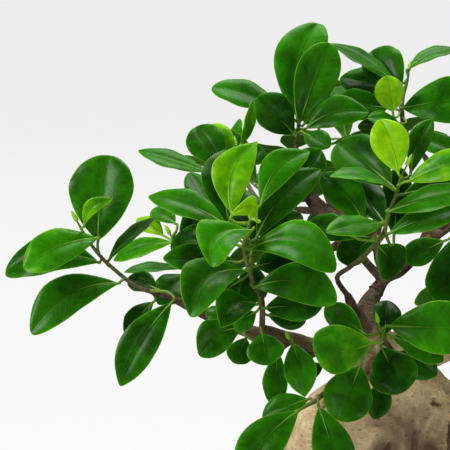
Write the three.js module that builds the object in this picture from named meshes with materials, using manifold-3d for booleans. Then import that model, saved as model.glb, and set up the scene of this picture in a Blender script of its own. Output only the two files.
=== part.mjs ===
// Ficus ginseng bonsai: swollen roots and limbs, leafy shoots, soil and a plain round pot.
// Millimetres, +Z up, origin at the middle of the pot's flat underside.
import * as THREE from 'three';
import { mergeVertices } from 'three/addons/utils/BufferGeometryUtils.js';
import Module from 'manifold-3d';

const wasm = await Module();
wasm.setup();
const { Manifold, Mesh } = wasm;

// Driving dimensions.
const POT_HEIGHT = 74;
const POT_RIM_RADIUS = 79;
const POT_LIP = 8.5;
const POT_LIP_HEIGHT = 11;
const POT_LIP_ROUNDING = 1.5;
const POT_FOOT_RADIUS = 55;
const POT_WALL = 6;
const POT_FLOOR = 8;
const POT_SIDES = 32;
const BELLY_CURVE = 1.8;
const DRAIN_RADIUS = 6;
const DRAIN_SIDES = 12;
const DRAIN_OFFSET = 28;
const DRAIN_GROOVE_DEPTH = 2.5;
const SCREEN_SIDE = 24;
const SCREEN_THICKNESS = 1.2;
const SCREEN_HOLE = 4;
const SCREEN_PITCH = 7;
const SOIL_BELOW_RIM = 9;
const SOIL_CROWN = 5;
const CLEARANCE = 0.35;
const JOINT_TOLERANCE = 0.03;

const TWIG_SIDES = 4;
const LIMB_SIDES = 6;
const ROOT_SIDES = 10;
const LEAF_THICKNESS = 0.8;
const STALK_RADIUS = 0.8;
const STALK_FOOT_RADIUS = 0.5;
const BLADE_SHARES = [0.2, 0.52, 0.86];

// The outlines of a blunt leaf and of a tapered one, between which a leaf's taper goes: the share
// of the length where the blade is widest, and a power that is small for a full outline.
const BLUNT_LEAF = { widest: 0.6, power: 0.55 };
const TAPERED_LEAF = { widest: 0.5, power: 0.85 };

// The rule of the shoots that the picture doesn't show. Angles are in degrees. Spreads are the
// whole range of a seeded draw. Turns are tried in their order until a leaf stands clear.
const SPRAY = {
  steps: 5,
  bend: 25,
  tipRadius: 0.4,
  firstLeafAt: 0.2,
  lastLeafAt: 0.98,
  turnPerLeaf: 137.5,
  turnSpread: 36,
  turnsTried: [0, 25, -25, 50, -50, 75, -75],
  pitchAtFoot: 78,
  pitchAtTip: 32,
  pitchSpread: 16,
  stalk: 7,
  droop: 0.12,
  longest: 38,
  shortest: 27,
  lengthSpread: 0.2,
  slenderness: 0.5,
  widthSpread: 0.16,
  skyward: 0.9,
  rollSpread: 30,
  archLeast: 0.04,
  archSpread: 0.05,
  fold: 0.14,
  taper: 0.3,
  bladeShares: [0.32, 0.8],
};

// The view in which the near side of the crown is laid out: a square picture of 450 pixels,
// taken level with the crown and looking along +Y. Depths there are millimetres towards the
// eye from the plane through the pot's axis.
const VIEW_PIXELS = 450;
const VIEW_PIXEL_MM = 0.45;
const VIEW_DISTANCE = 750;
const VIEW_TILT = THREE.MathUtils.degToRad(10);
const VIEW_AXIS_COLUMN = 400;
const VIEW_CENTRE_HEIGHT = 260;

// Colours and finishes.
const GLAZE = { color: 0x3b4a4f, roughness: 0.2, metalness: 0 };
const EARTH = { color: 0x3a2a1d, roughness: 0.95, metalness: 0 };
const BARK = { color: 0xb39a78, roughness: 0.8, metalness: 0 };
const LEAF = { color: 0x2f7d12, roughness: 0.35, metalness: 0 };
const MESH_PLASTIC = { color: 0x1c1c1c, roughness: 0.6, metalness: 0 };

const viewForward = new THREE.Vector3(0, Math.cos(VIEW_TILT), -Math.sin(VIEW_TILT));
const viewRight = new THREE.Vector3(1, 0, 0);
const viewUp = new THREE.Vector3(0, Math.sin(VIEW_TILT), Math.cos(VIEW_TILT));
const viewEye = new THREE.Vector3(
  (VIEW_PIXELS / 2 - VIEW_AXIS_COLUMN) * VIEW_PIXEL_MM, 0, VIEW_CENTRE_HEIGHT,
).addScaledVector(viewForward, -VIEW_DISTANCE);

// The point at a picture column and row, at a depth towards the eye.
function pictured(column, row, depth) {
  const scale = (1 - depth / VIEW_DISTANCE) * VIEW_PIXEL_MM;
  return viewEye.clone()
    .addScaledVector(viewForward, VIEW_DISTANCE - depth)
    .addScaledVector(viewRight, (column - VIEW_PIXELS / 2) * scale)
    .addScaledVector(viewUp, (VIEW_PIXELS / 2 - row) * scale);
}

// Shoots read in the picture. A limb is the wood that leads to a shoot and a stem goes on from
// its end, both as lists of [column, row, depth, radius]. A leaf is
// [stem place, base column, row, depth, tip column, row, depth, width in pixels,
//  roll in degrees, arch, fold, sweep, taper]. The stem place counts points from the limb's
// end. Roll turns the blade about its length, from facing the eye. Arch and sweep are how far
// the midrib bows upwards and sideways, in lengths. Fold is the slope of each half above the
// midrib. Taper is 0 for a blunt outline and 1 for a tapered one.
const picturedShoots = [
  {
    name: 'shoot_left',
    limb: [
      [290, 339, 46, 2.4], [252, 332, 40, 2.2], [216, 318, 40, 1.9], [186, 304, 44, 1.6],
      [160, 294, 46, 1.3],
    ],
    stem: [
      [140, 288, 47, 1.1], [127, 280, 48, 1.0], [104, 260, 50, 0.9],
      [90, 243, 52, 0.8], [83, 232, 53, 0.7], [77, 221, 54, 0.4],
    ],
    leaves: [
      [3.4, 98, 240, 51, 108, 155, 46, 66, -8, 0.04, 0.12, -0.02, 0],
      [4.8, 84, 226, 56, 112, 199, 61, 15, 0, 0.1, 0.3, -0.2, 0.3],
      [4.2, 97, 238, 54, 24, 269, 64, 43, 26, 0.06, 0.1, 0.07, 0.2],
      [3.2, 98, 262, 48, 5, 272, 40, 45, 32, 0.08, 0.1, 0.1, 0.1],
      [2.1, 118, 283, 51, 31, 333, 60, 43, 18, 0.05, 0.12, 0.14, 0.2],
      [2.6, 108, 260, 47, 155, 217, 38, 25, -56, 0.05, 0.15, 0, 0.4],
      [0.6, 157, 289, 44, 128, 277, 38, 26, 30, 0.05, 0.12, 0, 0.4],
      [0.5, 171, 303, 52, 120, 386, 57, 39, 10, 0.05, 0.12, 0.05, 0.5],
      [0.9, 153, 302, 43, 124, 333, 36, 24, 20, 0.05, 0.12, 0, 0.4],
    ],
  },
  {
    name: 'shoot_left_back',
    limb: [[252, 332, 40, 2], [232, 312, 24, 1.7], [214, 292, 12, 1.3]],
    stem: [
      [198, 272, 8, 1.1], [184, 256, 4, 0.9], [175, 243, 2, 0.7],
      [170, 234, 1, 0.4],
    ],
    leaves: [
      [2.2, 172, 242, 6, 113, 260, -2, 25, 42, 0.05, 0.12, 0.03, 0.5],
      [3.2, 163, 235, -4, 137, 218, -12, 22, 35, 0.05, 0.12, 0, 0.5],
      [3.6, 175, 223, -2, 153, 208, -14, 24, 30, 0.05, 0.12, 0, 0.4],
      [1.6, 182, 268, 12, 124, 272, 20, 20, 60, 0.06, 0.12, 0, 0.5],
      [0.8, 190, 276, 14, 158, 304, 26, 34, 20, 0.05, 0.12, 0.05, 0.4],
      [2.9, 180, 236, 0, 197, 213, -8, 22, 20, 0.05, 0.1, 0, 0.3],
    ],
  },
  {
    name: 'shoot_middle',
    limb: [
      [382, 362, -2, 7], [366, 355, 8, 5], [342, 352, 22, 4], [316, 348, 34, 3.2],
      [290, 339, 46, 2.6], [274, 333, 56, 1.9], [262, 330, 60, 1.5],
    ],
    stem: [
      [262, 300, 68, 1.2], [255, 288, 72, 1.1], [249, 270, 76, 1.0],
      [245, 255, 79, 0.95], [244, 246, 81, 0.9], [247, 232, 83, 0.75], [250, 218, 84, 0.4],
    ],
    leaves: [
      [6.6, 232, 214, 86, 258, 141, 76, 41, -8, 0.05, 0.15, -0.17, 1],
      [5.6, 251, 230, 90, 211, 266, 104, 46, 24, 0.05, 0.3, 0.27, 0.2],
      [7.0, 257, 221, 90, 231, 215, 98, 21, -10, 0.08, 0.15, 0.42, 0.6],
      [6.3, 261, 204, 84, 310, 151, 74, 34, -12, 0.05, 0.15, -0.15, 0.6],
      [5.4, 257, 237, 77, 321, 169, 62, 38, -12, 0.05, 0.12, -0.09, 0.5],
      [6.1, 226, 225, 82, 148, 196, 70, 34, 32, 0.05, 0.12, 0.05, 0.6],
      [5.6, 230, 224, 77, 229, 149, 61, 48, 12, 0.05, 0.1, -0.08, 0.3],
      [4.9, 222, 230, 70, 189, 172, 48, 32, 20, 0.05, 0.1, 0, 0.3],
      [3.8, 236, 262, 76, 163, 258, 80, 32, 25, 0.05, 0.12, 0, 0.4],
      [4.4, 232, 240, 70, 170, 246, 56, 38, 20, 0.05, 0.12, 0, 0.3],
      [3.1, 247, 270, 80, 190, 316, 98, 48, 22, 0.05, 0.3, 0.22, 0.2],
      [1.4, 257, 304, 72, 221, 327, 86, 36, 20, 0.05, 0.25, 0.24, 0.6],
      [0.9, 256, 312, 66, 236, 331, 70, 22, 0, 0.05, 0.12, 0.1, 0.4],
      [4.6, 250, 249, 85, 336, 269, 100, 43, -10, 0.05, 0.1, -0.2, 0.1],
      [2.4, 255, 287, 78, 337, 300, 85, 42, -10, 0.05, 0.1, -0.14, 0.1],
      [1.1, 265, 308, 71, 323, 304, 72, 34, -15, 0.05, 0.12, 0, 0.3],
      [0.6, 268, 315, 64, 306, 321, 62, 24, -10, 0.05, 0.12, 0, 0.3],
      [3.5, 256, 266, 70, 300, 258, 50, 40, -10, 0.05, 0.12, 0, 0.3],
      [2.8, 241, 280, 66, 214, 298, 50, 34, 10, 0.05, 0.12, 0, 0.3],
      [5.2, 258, 243, 72, 302, 214, 50, 30, -10, 0.05, 0.12, 0, 0.3],
      [3, 252, 262, 64, 252, 304, 50, 34, 0, 0.05, 0.1, 0, 0.3],
      [4, 250, 244, 66, 238, 188, 52, 42, 8, 0.05, 0.1, 0, 0.3],
    ],
  },
  {
    name: 'shoot_low_left',
    limb: [[290, 339, 46, 2.4], [280, 349, 48, 1.4]],
    stem: [[266, 344, 58, 1.1], [250, 338, 60, 0.9], [233, 326, 60, 0.5]],
    leaves: [
      [2.3, 240, 328, 61, 199, 355, 66, 37, 8, 0.05, 0.12, 0.14, 0.3],
      [1.9, 246, 338, 56, 235, 364, 52, 27, 0, 0.05, 0.12, 0, 0.3],
      [1.0, 262, 333, 68, 268, 365, 74, 38, 0, 0.05, 0.1, 0, 0.2],
      [2.9, 224, 316, 55, 205, 311, 52, 16, 20, 0.05, 0.12, 0, 0.5],
      [0.4, 278, 352, 44, 275, 408, 38, 27, 22, 0.05, 0.15, 0, 0.5],
    ],
  },
  {
    name: 'shoot_low_middle',
    limb: [[316, 348, 34, 2.4], [308, 357, 40, 1.4]],
    stem: [[300, 354, 48, 1.1], [294, 347, 55, 0.8], [289, 338, 60, 0.5]],
    leaves: [
      [2.7, 293, 343, 63, 305, 397, 68, 33, 0, 0.05, 0.12, -0.02, 0.8],
      [0.6, 305, 362, 40, 316, 378, 34, 24, 0, 0.05, 0.12, 0, 0.4],
    ],
  },
  {
    name: 'shoot_low_front',
    limb: [[366, 355, 8, 4], [352, 374, 28, 2.2], [334, 388, 44, 1.5]],
    stem: [
      [323, 394, 48, 1.2], [317, 400, 50, 1.1], [306, 406, 52, 0.9],
      [298, 411, 54, 0.5],
    ],
    leaves: [
      [2.4, 308, 399, 48, 262, 417, 45, 30, 25, 0.05, 0.12, 0, 0.5],
      [3.9, 298, 411, 56, 240, 485, 64, 45, 15, 0.05, 0.12, 0.08, 0.4],
      [1.6, 319, 407, 54, 346, 492, 62, 42, -5, 0.05, 0.15, 0, 0.6],
    ],
  },
  {
    name: 'shoot_low_right',
    limb: [[386, 364, -2, 6], [396, 366, 18, 2.6], [398, 362, 34, 1.6]],
    stem: [
      [390, 348, 44, 1.3], [384, 338, 52, 1.1], [380, 330, 58, 0.8],
      [378, 322, 60, 0.4],
    ],
    leaves: [
      [2.6, 371, 343, 64, 313, 340, 76, 50, -8, 0.04, 0.12, -0.12, 0],
      [2.9, 390, 326, 60, 482, 329, 70, 54, -5, 0.04, 0.12, 0, 0.2],
      [2.1, 360, 366, 56, 338, 420, 64, 50, 0, 0.05, 0.1, 0, 0],
      [1.2, 382, 348, 50, 402, 393, 56, 50, 0, 0.05, 0.1, 0, 0.1],
      [0.6, 398, 352, 40, 437, 375, 42, 32, -15, 0.05, 0.1, 0, 0.4],
      [1.6, 392, 336, 56, 444, 360, 54, 30, -30, 0.05, 0.1, 0, 0.3],
      [0.2, 384, 380, 40, 374, 419, 46, 26, 0, 0.05, 0.12, 0, 0.3],
      [2.9, 362, 332, 50, 325, 306, 42, 28, 10, 0.05, 0.1, 0, 0.3],
      [2.4, 384, 334, 50, 388, 300, 40, 30, 0, 0.05, 0.1, 0, 0.3],
    ],
  },
  {
    name: 'shoot_right',
    limb: [[366, 332, -5, 6], [358, 318, 4, 4], [352, 307, 18, 2.3], [348, 296, 32, 1.4]],
    stem: [
      [337, 278, 50, 1.2], [350, 267, 58, 1.1], [365, 255, 64, 1.0],
      [375, 245, 68, 0.95], [384, 235, 72, 0.9], [388, 215, 75, 0.85], [396, 195, 78, 0.75],
      [400, 180, 80, 0.6], [407, 165, 82, 0.35],
    ],
    leaves: [
      [8.2, 398, 172, 83, 380, 119, 80, 39, -5, 0.05, 0.15, 0.04, 0.3],
      [8.0, 411, 173, 79, 434, 119, 66, 24, 10, 0.05, 0.12, -0.1, 0.7],
      [7.6, 408, 181, 84, 485, 158, 94, 34, -26, 0.05, 0.12, -0.03, 0.5],
      [6.3, 389, 211, 80, 476, 191, 96, 32, -38, 0.05, 0.12, 0, 0.6],
      [5.4, 389, 233, 76, 466, 207, 84, 36, -40, 0.05, 0.12, 0, 0.3],
      [6.9, 404, 194, 73, 462, 183, 60, 30, -20, 0.05, 0.12, 0, 0.5],
      [7.3, 394, 189, 82, 330, 176, 90, 30, 64, 0.1, 0.15, 0.03, 0.6],
      [7.1, 391, 185, 75, 338, 142, 56, 52, 10, 0.05, 0.1, 0, 0],
      [5.7, 364, 223, 68, 322, 173, 60, 38, 10, 0.05, 0.1, 0.06, 0.4],
      [6.1, 384, 222, 70, 352, 182, 50, 38, 10, 0.05, 0.1, 0, 0.3],
      [4.2, 380, 223, 74, 326, 232, 88, 34, 48, 0.06, 0.12, -0.04, 0.6],
      [3.2, 378, 246, 60, 400, 272, 42, 40, -10, 0.05, 0.1, 0, 0.3],
      [4, 374, 238, 60, 338, 260, 44, 30, 0, 0.05, 0.1, 0, 0.2],
      [5.2, 394, 236, 58, 399, 166, 50, 32, 0, 0.05, 0.1, 0, 0.3],
      [4.6, 356, 238, 58, 308, 222, 42, 32, 20, 0.05, 0.1, 0, 0.3],
    ],
  },
  {
    name: 'shoot_top_left',
    limb: [[307, 193, -8, 2.2], [284, 204, 6, 1.8], [264, 208, 20, 1.5]],
    stem: [
      [252, 192, 12, 1.2], [243, 174, 6, 1.0], [238, 158, 2, 0.8],
      [236, 146, 0, 0.4],
    ],
    leaves: [
      [3.6, 241, 146, 4, 253, 100, 2, 18, 50, 0.05, 0.2, 0, 0.7],
      [2.2, 222, 166, 8, 195, 127, 0, 40, 10, 0.05, 0.12, 0, 0],
      [3, 232, 160, 2, 211, 124, -8, 28, 0, 0.05, 0.12, 0, 0.3],
      [1.4, 208, 172, 10, 138, 150, 4, 28, 48, 0.05, 0.12, -0.05, 0.6],
      [2.8, 247, 164, -2, 262, 147, -12, 26, 0, 0.05, 0.12, 0, 0.3],
    ],
  },
  {
    name: 'shoot_top',
    limb: [
      [382, 281, -10, 3.2], [367, 262, -9, 3], [352, 243, -8, 3.2], [335, 224, -8, 3.4],
      [319, 208, -8, 2.9], [307, 194, -8, 2.3], [300, 178, -8, 1.8], [298, 166, -8, 1.5],
    ],
    stem: [
      [296, 145, -14, 1.2], [298, 130, -16, 1.0], [299, 118, -18, 0.8],
      [300, 108, -19, 0.4],
    ],
    leaves: [
      [3.2, 300, 122, -14, 330, 43, -20, 44, 5, 0.05, 0.12, -0.02, 0],
      [3.4, 297, 117, -24, 318, 23, -40, 50, 0, 0.05, 0.12, -0.11, 0],
      [2.6, 283, 114, -18, 212, 87, -22, 36, 36, 0.05, 0.12, 0.04, 0.1],
      [1.8, 294, 134, -10, 257, 97, -6, 42, 20, 0.05, 0.12, 0, 0.2],
      [2.2, 306, 128, -12, 369, 112, -8, 35, -25, 0.05, 0.12, -0.12, 0.5],
      [1.2, 304, 133, -8, 330, 147, 0, 24, -20, 0.05, 0.12, 0, 0.3],
      [2.9, 304, 124, -24, 332, 96, -34, 30, -10, 0.05, 0.12, 0, 0.3],
      [0.6, 303, 175, 0, 321, 150, 5, 32, -10, 0.05, 0.12, 0, 0.3],
    ],
  },
  {
    name: 'shoot_top_right',
    limb: [
      [400, 384, -4, 14], [382, 358, -4, 10], [366, 330, -5, 8], [366, 308, -6, 6.2],
      [374, 292, -8, 4.8], [383, 279, -11, 3.8], [403, 265, -15, 3.4], [419, 250, -18, 3.1],
      [427, 235, -20, 2.9], [434, 218, -22, 2.7], [438, 194, -26, 2.5], [428, 164, -33, 2.2],
      [412, 142, -38, 1.9], [404, 130, -40, 1.5],
    ],
    stem: [
      [402, 112, -44, 1.3], [403, 96, -48, 1.1], [407, 82, -50, 0.8],
      [409, 70, -51, 0.4],
    ],
    leaves: [
      [3.2, 396, 83, -50, 330, 43, -56, 33, 56, 0.04, 0.12, 0.01, 0.6],
      [2.8, 401, 87, -54, 371, 51, -66, 43, 0, 0.05, 0.12, 0, 0],
      [3.6, 408, 69, -50, 459, 49, -56, 22, -50, 0.05, 0.12, -0.1, 0.3],
      [1.3, 393, 112, -36, 386, 76, -32, 30, 0, 0.05, 0.15, 0, 0.1],
      [1.6, 403, 108, -42, 484, 98, -36, 49, -14, 0.05, 0.12, -0.01, 0],
      [0.7, 400, 123, -34, 368, 118, -28, 22, 40, 0.05, 0.12, 0, 0.4],
      [0.5, 413, 136, -36, 456, 151, -30, 27, -25, 0.05, 0.12, 0, 0.4],
      [2.4, 394, 92, -54, 340, 78, -62, 40, 36, 0.05, 0.12, 0, 0.3],
      [1.0, 388, 108, -48, 333, 104, -45, 34, 16, 0.05, 0.12, 0, 0.3],
      [0.4, 392, 132, -38, 358, 126, -34, 22, 10, 0.05, 0.12, 0, 0.3],
    ],
  },
  {
    name: 'shoot_inner',
    limb: [[429, 232, -20, 2.4], [440, 234, -6, 1.7], [448, 230, 2, 1.3]],
    stem: [[456, 222, 6, 1.1], [462, 212, 8, 0.8], [466, 202, 9, 0.5]],
    leaves: [
      [0.9, 452, 240, 4, 452, 303, -8, 56, 0, 0.05, 0.1, 0, 0],
      [1.2, 444, 241, 11, 402, 260, 4, 28, 0, 0.05, 0.1, 0, 0.3],
      [1.4, 466, 226, 6, 506, 238, 0, 34, -20, 0.05, 0.12, 0, 0.3],
      [2.6, 470, 208, 10, 500, 220, 18, 34, -10, 0.05, 0.12, 0, 0.3],
    ],
  },
];

// Shoots filled by a rule, on the sides that the picture doesn't show. Here a limb is a list
// of [x, y, z, radius]. Bearing is from +X towards +Y, climb is above level, both in degrees.
const sprays = [
  {
    name: 'shoot_right_front', limb: [[44, -14, 222, 2.6], [58, -32, 226, 1.9], [68, -44, 231, 1.4]],
    bearing: -50, climb: 18, length: 50, leaves: 7, seed: 11,
  },
  {
    name: 'shoot_right_low', limb: [[44, -14, 222, 2.6], [62, -18, 208, 1.9], [76, -22, 198, 1.4]],
    bearing: -15, climb: -4, length: 46, leaves: 7, seed: 12,
  },
  {
    name: 'shoot_right_end', limb: [[86, -16, 239, 2.7], [102, -14, 244, 2.2], [112, -12, 247, 1.5]],
    bearing: 0, climb: 12, length: 54, leaves: 8, seed: 13,
  },
  {
    name: 'shoot_right_upper', limb: [[66, -17, 232, 3], [76, -18, 252, 2.1], [82, -18, 268, 1.5]],
    bearing: -12, climb: 55, length: 52, leaves: 8, seed: 14,
  },
  {
    name: 'shoot_right_inner', limb: [[44, -14, 222, 2.4], [50, -26, 244, 1.9], [54, -34, 260, 1.4]],
    bearing: -55, climb: 50, length: 48, leaves: 7, seed: 15,
  },
  {
    name: 'shoot_right_back', limb: [[74, 50, 248, 2.7], [90, 57, 254, 2], [100, 61, 257, 1.4]],
    bearing: 28, climb: 14, length: 52, leaves: 7, seed: 16,
  },
  {
    name: 'shoot_right_crown', limb: [[56, 44, 240, 3], [62, 44, 260, 2.1], [66, 44, 276, 1.5]],
    bearing: 30, climb: 62, length: 52, leaves: 8, seed: 17,
  },
  {
    name: 'shoot_right_under', limb: [[56, 44, 240, 2.6], [70, 52, 224, 1.9], [80, 58, 214, 1.4]],
    bearing: 40, climb: -4, length: 46, leaves: 6, seed: 18,
  },
  {
    name: 'shoot_back_end', limb: [[-3, 76, 261, 2.6], [-6, 90, 266, 2], [-8, 99, 269, 1.4]],
    bearing: 103, climb: 6, length: 46, leaves: 7, seed: 156,
  },
  {
    name: 'shoot_back_upper', limb: [[-24, 8, 256, 2.4], [-30, 26, 268, 1.9], [-36, 44, 280, 1.4]],
    bearing: 82, climb: 31, length: 40, leaves: 6, seed: 14,
  },
  {
    name: 'shoot_back_low', limb: [[32, 28, 222, 2.8], [42, 46, 217, 1.9], [48, 60, 212, 1.4]],
    bearing: 62, climb: -24, length: 46, leaves: 6, seed: 816,
  },
  {
    name: 'shoot_back_left', limb: [[-5, 56, 256, 2.8], [-24, 70, 254, 2.1], [-42, 78, 254, 1.4]],
    bearing: 134, climb: 4, length: 44, leaves: 7, seed: 415,
  },
  {
    name: 'shoot_back_under', limb: [[-6, 40, 251, 2.8], [-20, 52, 243, 1.9], [-34, 60, 234, 1.4]],
    bearing: 138, climb: 4, length: 42, leaves: 6, seed: 991,
  },
  {
    name: 'shoot_top_end', limb: [[40, 6, 272, 2.6], [52, 4, 286, 2], [60, 2, 298, 1.4]],
    bearing: -10, climb: 66, length: 44, leaves: 7, seed: 24,
  },
];

// Swollen roots, from the mass under the limbs down into the soil: [column, row, depth, radius].
const swollenRoots = [
  [
    [402, 376, -6, 12], [406, 396, -10, 21], [408, 430, -16, 27], [410, 475, -20, 25],
    [410, 515, -21, 13],
  ],
  [
    [402, 380, -4, 12], [391, 400, 0, 19], [371, 424, 3, 27], [347, 458, 4, 28],
    [343, 512, 1, 24], [338, 570, -2, 18], [331, 640, -5, 11], [324, 714, -11, 6],
  ],
  [
    [414, 380, -10, 11], [428, 406, -19, 16], [462, 438, -28, 20.5], [481, 495, -33, 21],
    [485, 550, -35, 18], [487, 620, -38, 12], [496, 684, -44, 7],
  ],
  [
    [408, 462, -5, 13], [418, 500, 8, 16], [424, 560, 12, 14], [430, 640, 13, 9],
    [436, 732, 10, 5],
  ],
  [
    [376, 440, -25, 18], [364, 500, -39, 18], [350, 575, -57, 13], [340, 660, -68, 7],
  ],
  [
    [430, 450, -34, 16], [438, 505, -51, 17], [448, 580, -65, 12], [455, 656, -74, 7],
  ],
];

// Limbs on the far and right-hand sides: [x, y, z, radius].
const hiddenLimbs = [
  [
    [0, 4, 196, 9], [22, -6, 206, 5.6], [44, -14, 222, 4.2], [66, -17, 232, 3.4],
    [86, -16, 239, 2.8],
  ],
  [[-6, 8, 198, 6.5], [12, 16, 205, 4.8], [32, 28, 222, 4], [56, 44, 240, 3.3], [74, 50, 248, 2.8]],
  [[-7, 8, 234, 3.4], [-8, 24, 243, 3.1], [-6, 46, 254, 2.9], [-3, 76, 261, 2.6]],
  [[3, 12, 239, 3.1], [22, 13, 257, 2.9], [40, 6, 272, 2.7]],
];

// Points of a smooth tube: [x, y, z, radius], in millimetres.
function tubePoints(points) {
  return points.map(([x, y, z, radius]) => ({ at: new THREE.Vector3(x, y, z), radius }));
}

function picturedTube(points) {
  return points.map(([column, row, depth, radius]) => (
    { at: pictured(column, row, depth), radius }));
}

// A closed solid from rings of points that all have one length. Corners that coincide are
// merged, so a ring may close to a point or an edge.
function skin(rings) {
  const positions = [];
  const indices = [];
  const perRing = rings[0].length;
  for (const ring of rings) {
    for (const point of ring) {
      positions.push(point.x, point.y, point.z);
    }
  }
  for (let ring = 0; ring + 1 < rings.length; ring += 1) {
    for (let side = 0; side < perRing; side += 1) {
      const next = (side + 1) % perRing;
      const a = ring * perRing + side;
      const b = ring * perRing + next;
      const c = a + perRing;
      const d = b + perRing;
      indices.push(a, b, d, a, d, c);
    }
  }
  const last = (rings.length - 1) * perRing;
  for (let side = 1; side + 1 < perRing; side += 1) {
    indices.push(0, side + 1, side);
    indices.push(last, last + side, last + side + 1);
  }
  const geometry = new THREE.BufferGeometry();
  geometry.setAttribute('position', new THREE.Float32BufferAttribute(positions, 3));
  geometry.setIndex(indices);
  return geometry;
}

// A manifold solid from a closed geometry, whichever way its faces were listed.
function solidOf(geometry) {
  geometry.deleteAttribute('normal');
  geometry.deleteAttribute('uv');
  const merged = mergeVertices(geometry, 1e-4);
  const index = merged.index.array;
  const kept = [];
  for (let i = 0; i < index.length; i += 3) {
    const [a, b, c] = [index[i], index[i + 1], index[i + 2]];
    if (a !== b && b !== c && c !== a) {
      kept.push(a, b, c);
    }
  }
  const mesh = new Mesh({
    numProp: 3,
    vertProperties: new Float32Array(merged.attributes.position.array),
    triVerts: new Uint32Array(kept),
  });
  const solid = new Manifold(mesh);
  if (solid.volume() > 0) {
    return solid;
  }
  for (let i = 0; i < kept.length; i += 3) {
    [kept[i + 1], kept[i + 2]] = [kept[i + 2], kept[i + 1]];
  }
  mesh.triVerts = new Uint32Array(kept);
  return new Manifold(mesh);
}

function geometryOf(solid) {
  const mesh = solid.getMesh();
  const geometry = new THREE.BufferGeometry();
  geometry.setAttribute('position', new THREE.BufferAttribute(mesh.vertProperties, 3));
  geometry.setIndex(new THREE.BufferAttribute(mesh.triVerts, 1));
  return geometry;
}

function united(solids) {
  return Manifold.union(solids);
}

// A tube through points of given radius, with flat ends. Each end is square to the line
// between its neighbours, where behind and beyond are the points that the tube would go on to.
function tube(points, sides, swell = 0, behind = null, beyond = null) {
  const rings = [];
  let across = null;
  points.forEach(({ at, radius }, i) => {
    const before = i > 0 ? points[i - 1].at : behind ?? at;
    const after = i + 1 < points.length ? points[i + 1].at : beyond ?? at;
    const along = after.clone().sub(before).normalize();
    if (across === null) {
      across = Math.abs(along.z) > 0.9 ? viewRight.clone() : new THREE.Vector3(0, 0, 1);
    }
    across.addScaledVector(along, -across.dot(along)).normalize();
    const third = along.clone().cross(across);
    const ring = [];
    for (let side = 0; side < sides; side += 1) {
      const angle = (2 * Math.PI * side) / sides;
      ring.push(at.clone()
        .addScaledVector(across, (radius + swell) * Math.cos(angle))
        .addScaledVector(third, (radius + swell) * Math.sin(angle)));
    }
    rings.push(ring);
  });
  return solidOf(skin(rings));
}

// The place on a tube's middle line that a count of its points gives, such as 2.5.
function placeOn(points, count) {
  const whole = Math.min(Math.floor(count), points.length - 2);
  return points[whole].at.clone().lerp(points[whole + 1].at, count - whole);
}

// Half the blade's width at a share of its length, as a share of half the full width.
function outline(share, taper) {
  const { lerp } = THREE.MathUtils;
  const widest = lerp(BLUNT_LEAF.widest, TAPERED_LEAF.widest, taper);
  const power = lerp(BLUNT_LEAF.power, TAPERED_LEAF.power, taper);
  return Math.sin(Math.PI * share ** (Math.log(0.5) / Math.log(widest))) ** power;
}

// The directions of a blade: along it, out of its upper face, and to its side.
function bladeFrame(base, tip, facing, roll) {
  const along = tip.clone().sub(base).normalize();
  const towards = facing.clone().addScaledVector(along, -facing.dot(along)).normalize();
  const side = along.clone().cross(towards);
  const angle = THREE.MathUtils.degToRad(roll);
  const face = towards.clone().multiplyScalar(Math.cos(angle))
    .addScaledVector(side, Math.sin(angle));
  const across = side.clone().multiplyScalar(Math.cos(angle))
    .addScaledVector(towards, -Math.sin(angle));
  return { along, face, across };
}

// The ring of a three-cornered stalk, each corner listed twice to match a blade's six.
function stalkRing(centre, radius, across, face) {
  const left = centre.clone().addScaledVector(across, -radius).addScaledVector(face, radius / 2);
  const right = centre.clone().addScaledVector(across, radius).addScaledVector(face, radius / 2);
  const keel = centre.clone().addScaledVector(face, -radius);
  return [left, left, right, right, keel, keel];
}

// One leaf: a stalk that widens into a folded, arched and pointed blade. A guard thickens it
// all round, to test how clear the leaf stands.
function leafSolid(leaf, guard = 0) {
  const { root, base, tip, width, arch, fold, sweep, taper, shares } = leaf;
  const { along, face, across } = bladeFrame(base, tip, leaf.facing, leaf.roll);
  const length = base.distanceTo(tip);
  const stalk = base.clone().sub(root).normalize();
  const turn = new THREE.Quaternion().setFromUnitVectors(along, stalk);
  const halfTurn = new THREE.Quaternion().slerp(turn, 0.5);
  const down = face.clone().multiplyScalar(-(LEAF_THICKNESS + 2 * guard));
  const bladeRing = (share) => {
    const bow = 4 * share * (1 - share) * length;
    const reach = outline(share, taper) * width / 2 + guard;
    const middle = base.clone().addScaledVector(along, share * length)
      .addScaledVector(face, arch * bow + guard)
      .addScaledVector(across, sweep * bow);
    const left = middle.clone().addScaledVector(across, -reach)
      .addScaledVector(face, fold * reach);
    const right = middle.clone().addScaledVector(across, reach)
      .addScaledVector(face, fold * reach);
    const top = [left, middle, right];
    return [...top, ...top.map((point) => point.clone().add(down)).reverse()];
  };
  const tipTop = tip.clone().addScaledVector(face, guard).addScaledVector(along, guard);
  const tipLow = tipTop.clone().add(down);
  return solidOf(skin([
    stalkRing(
      root, STALK_FOOT_RADIUS + guard,
      across.clone().applyQuaternion(turn), face.clone().applyQuaternion(turn),
    ),
    stalkRing(
      base, STALK_RADIUS + guard,
      across.clone().applyQuaternion(halfTurn), face.clone().applyQuaternion(halfTurn),
    ),
    ...shares.map(bladeRing),
    [tipTop, tipTop, tipTop, tipLow, tipLow, tipLow],
  ]));
}

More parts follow.
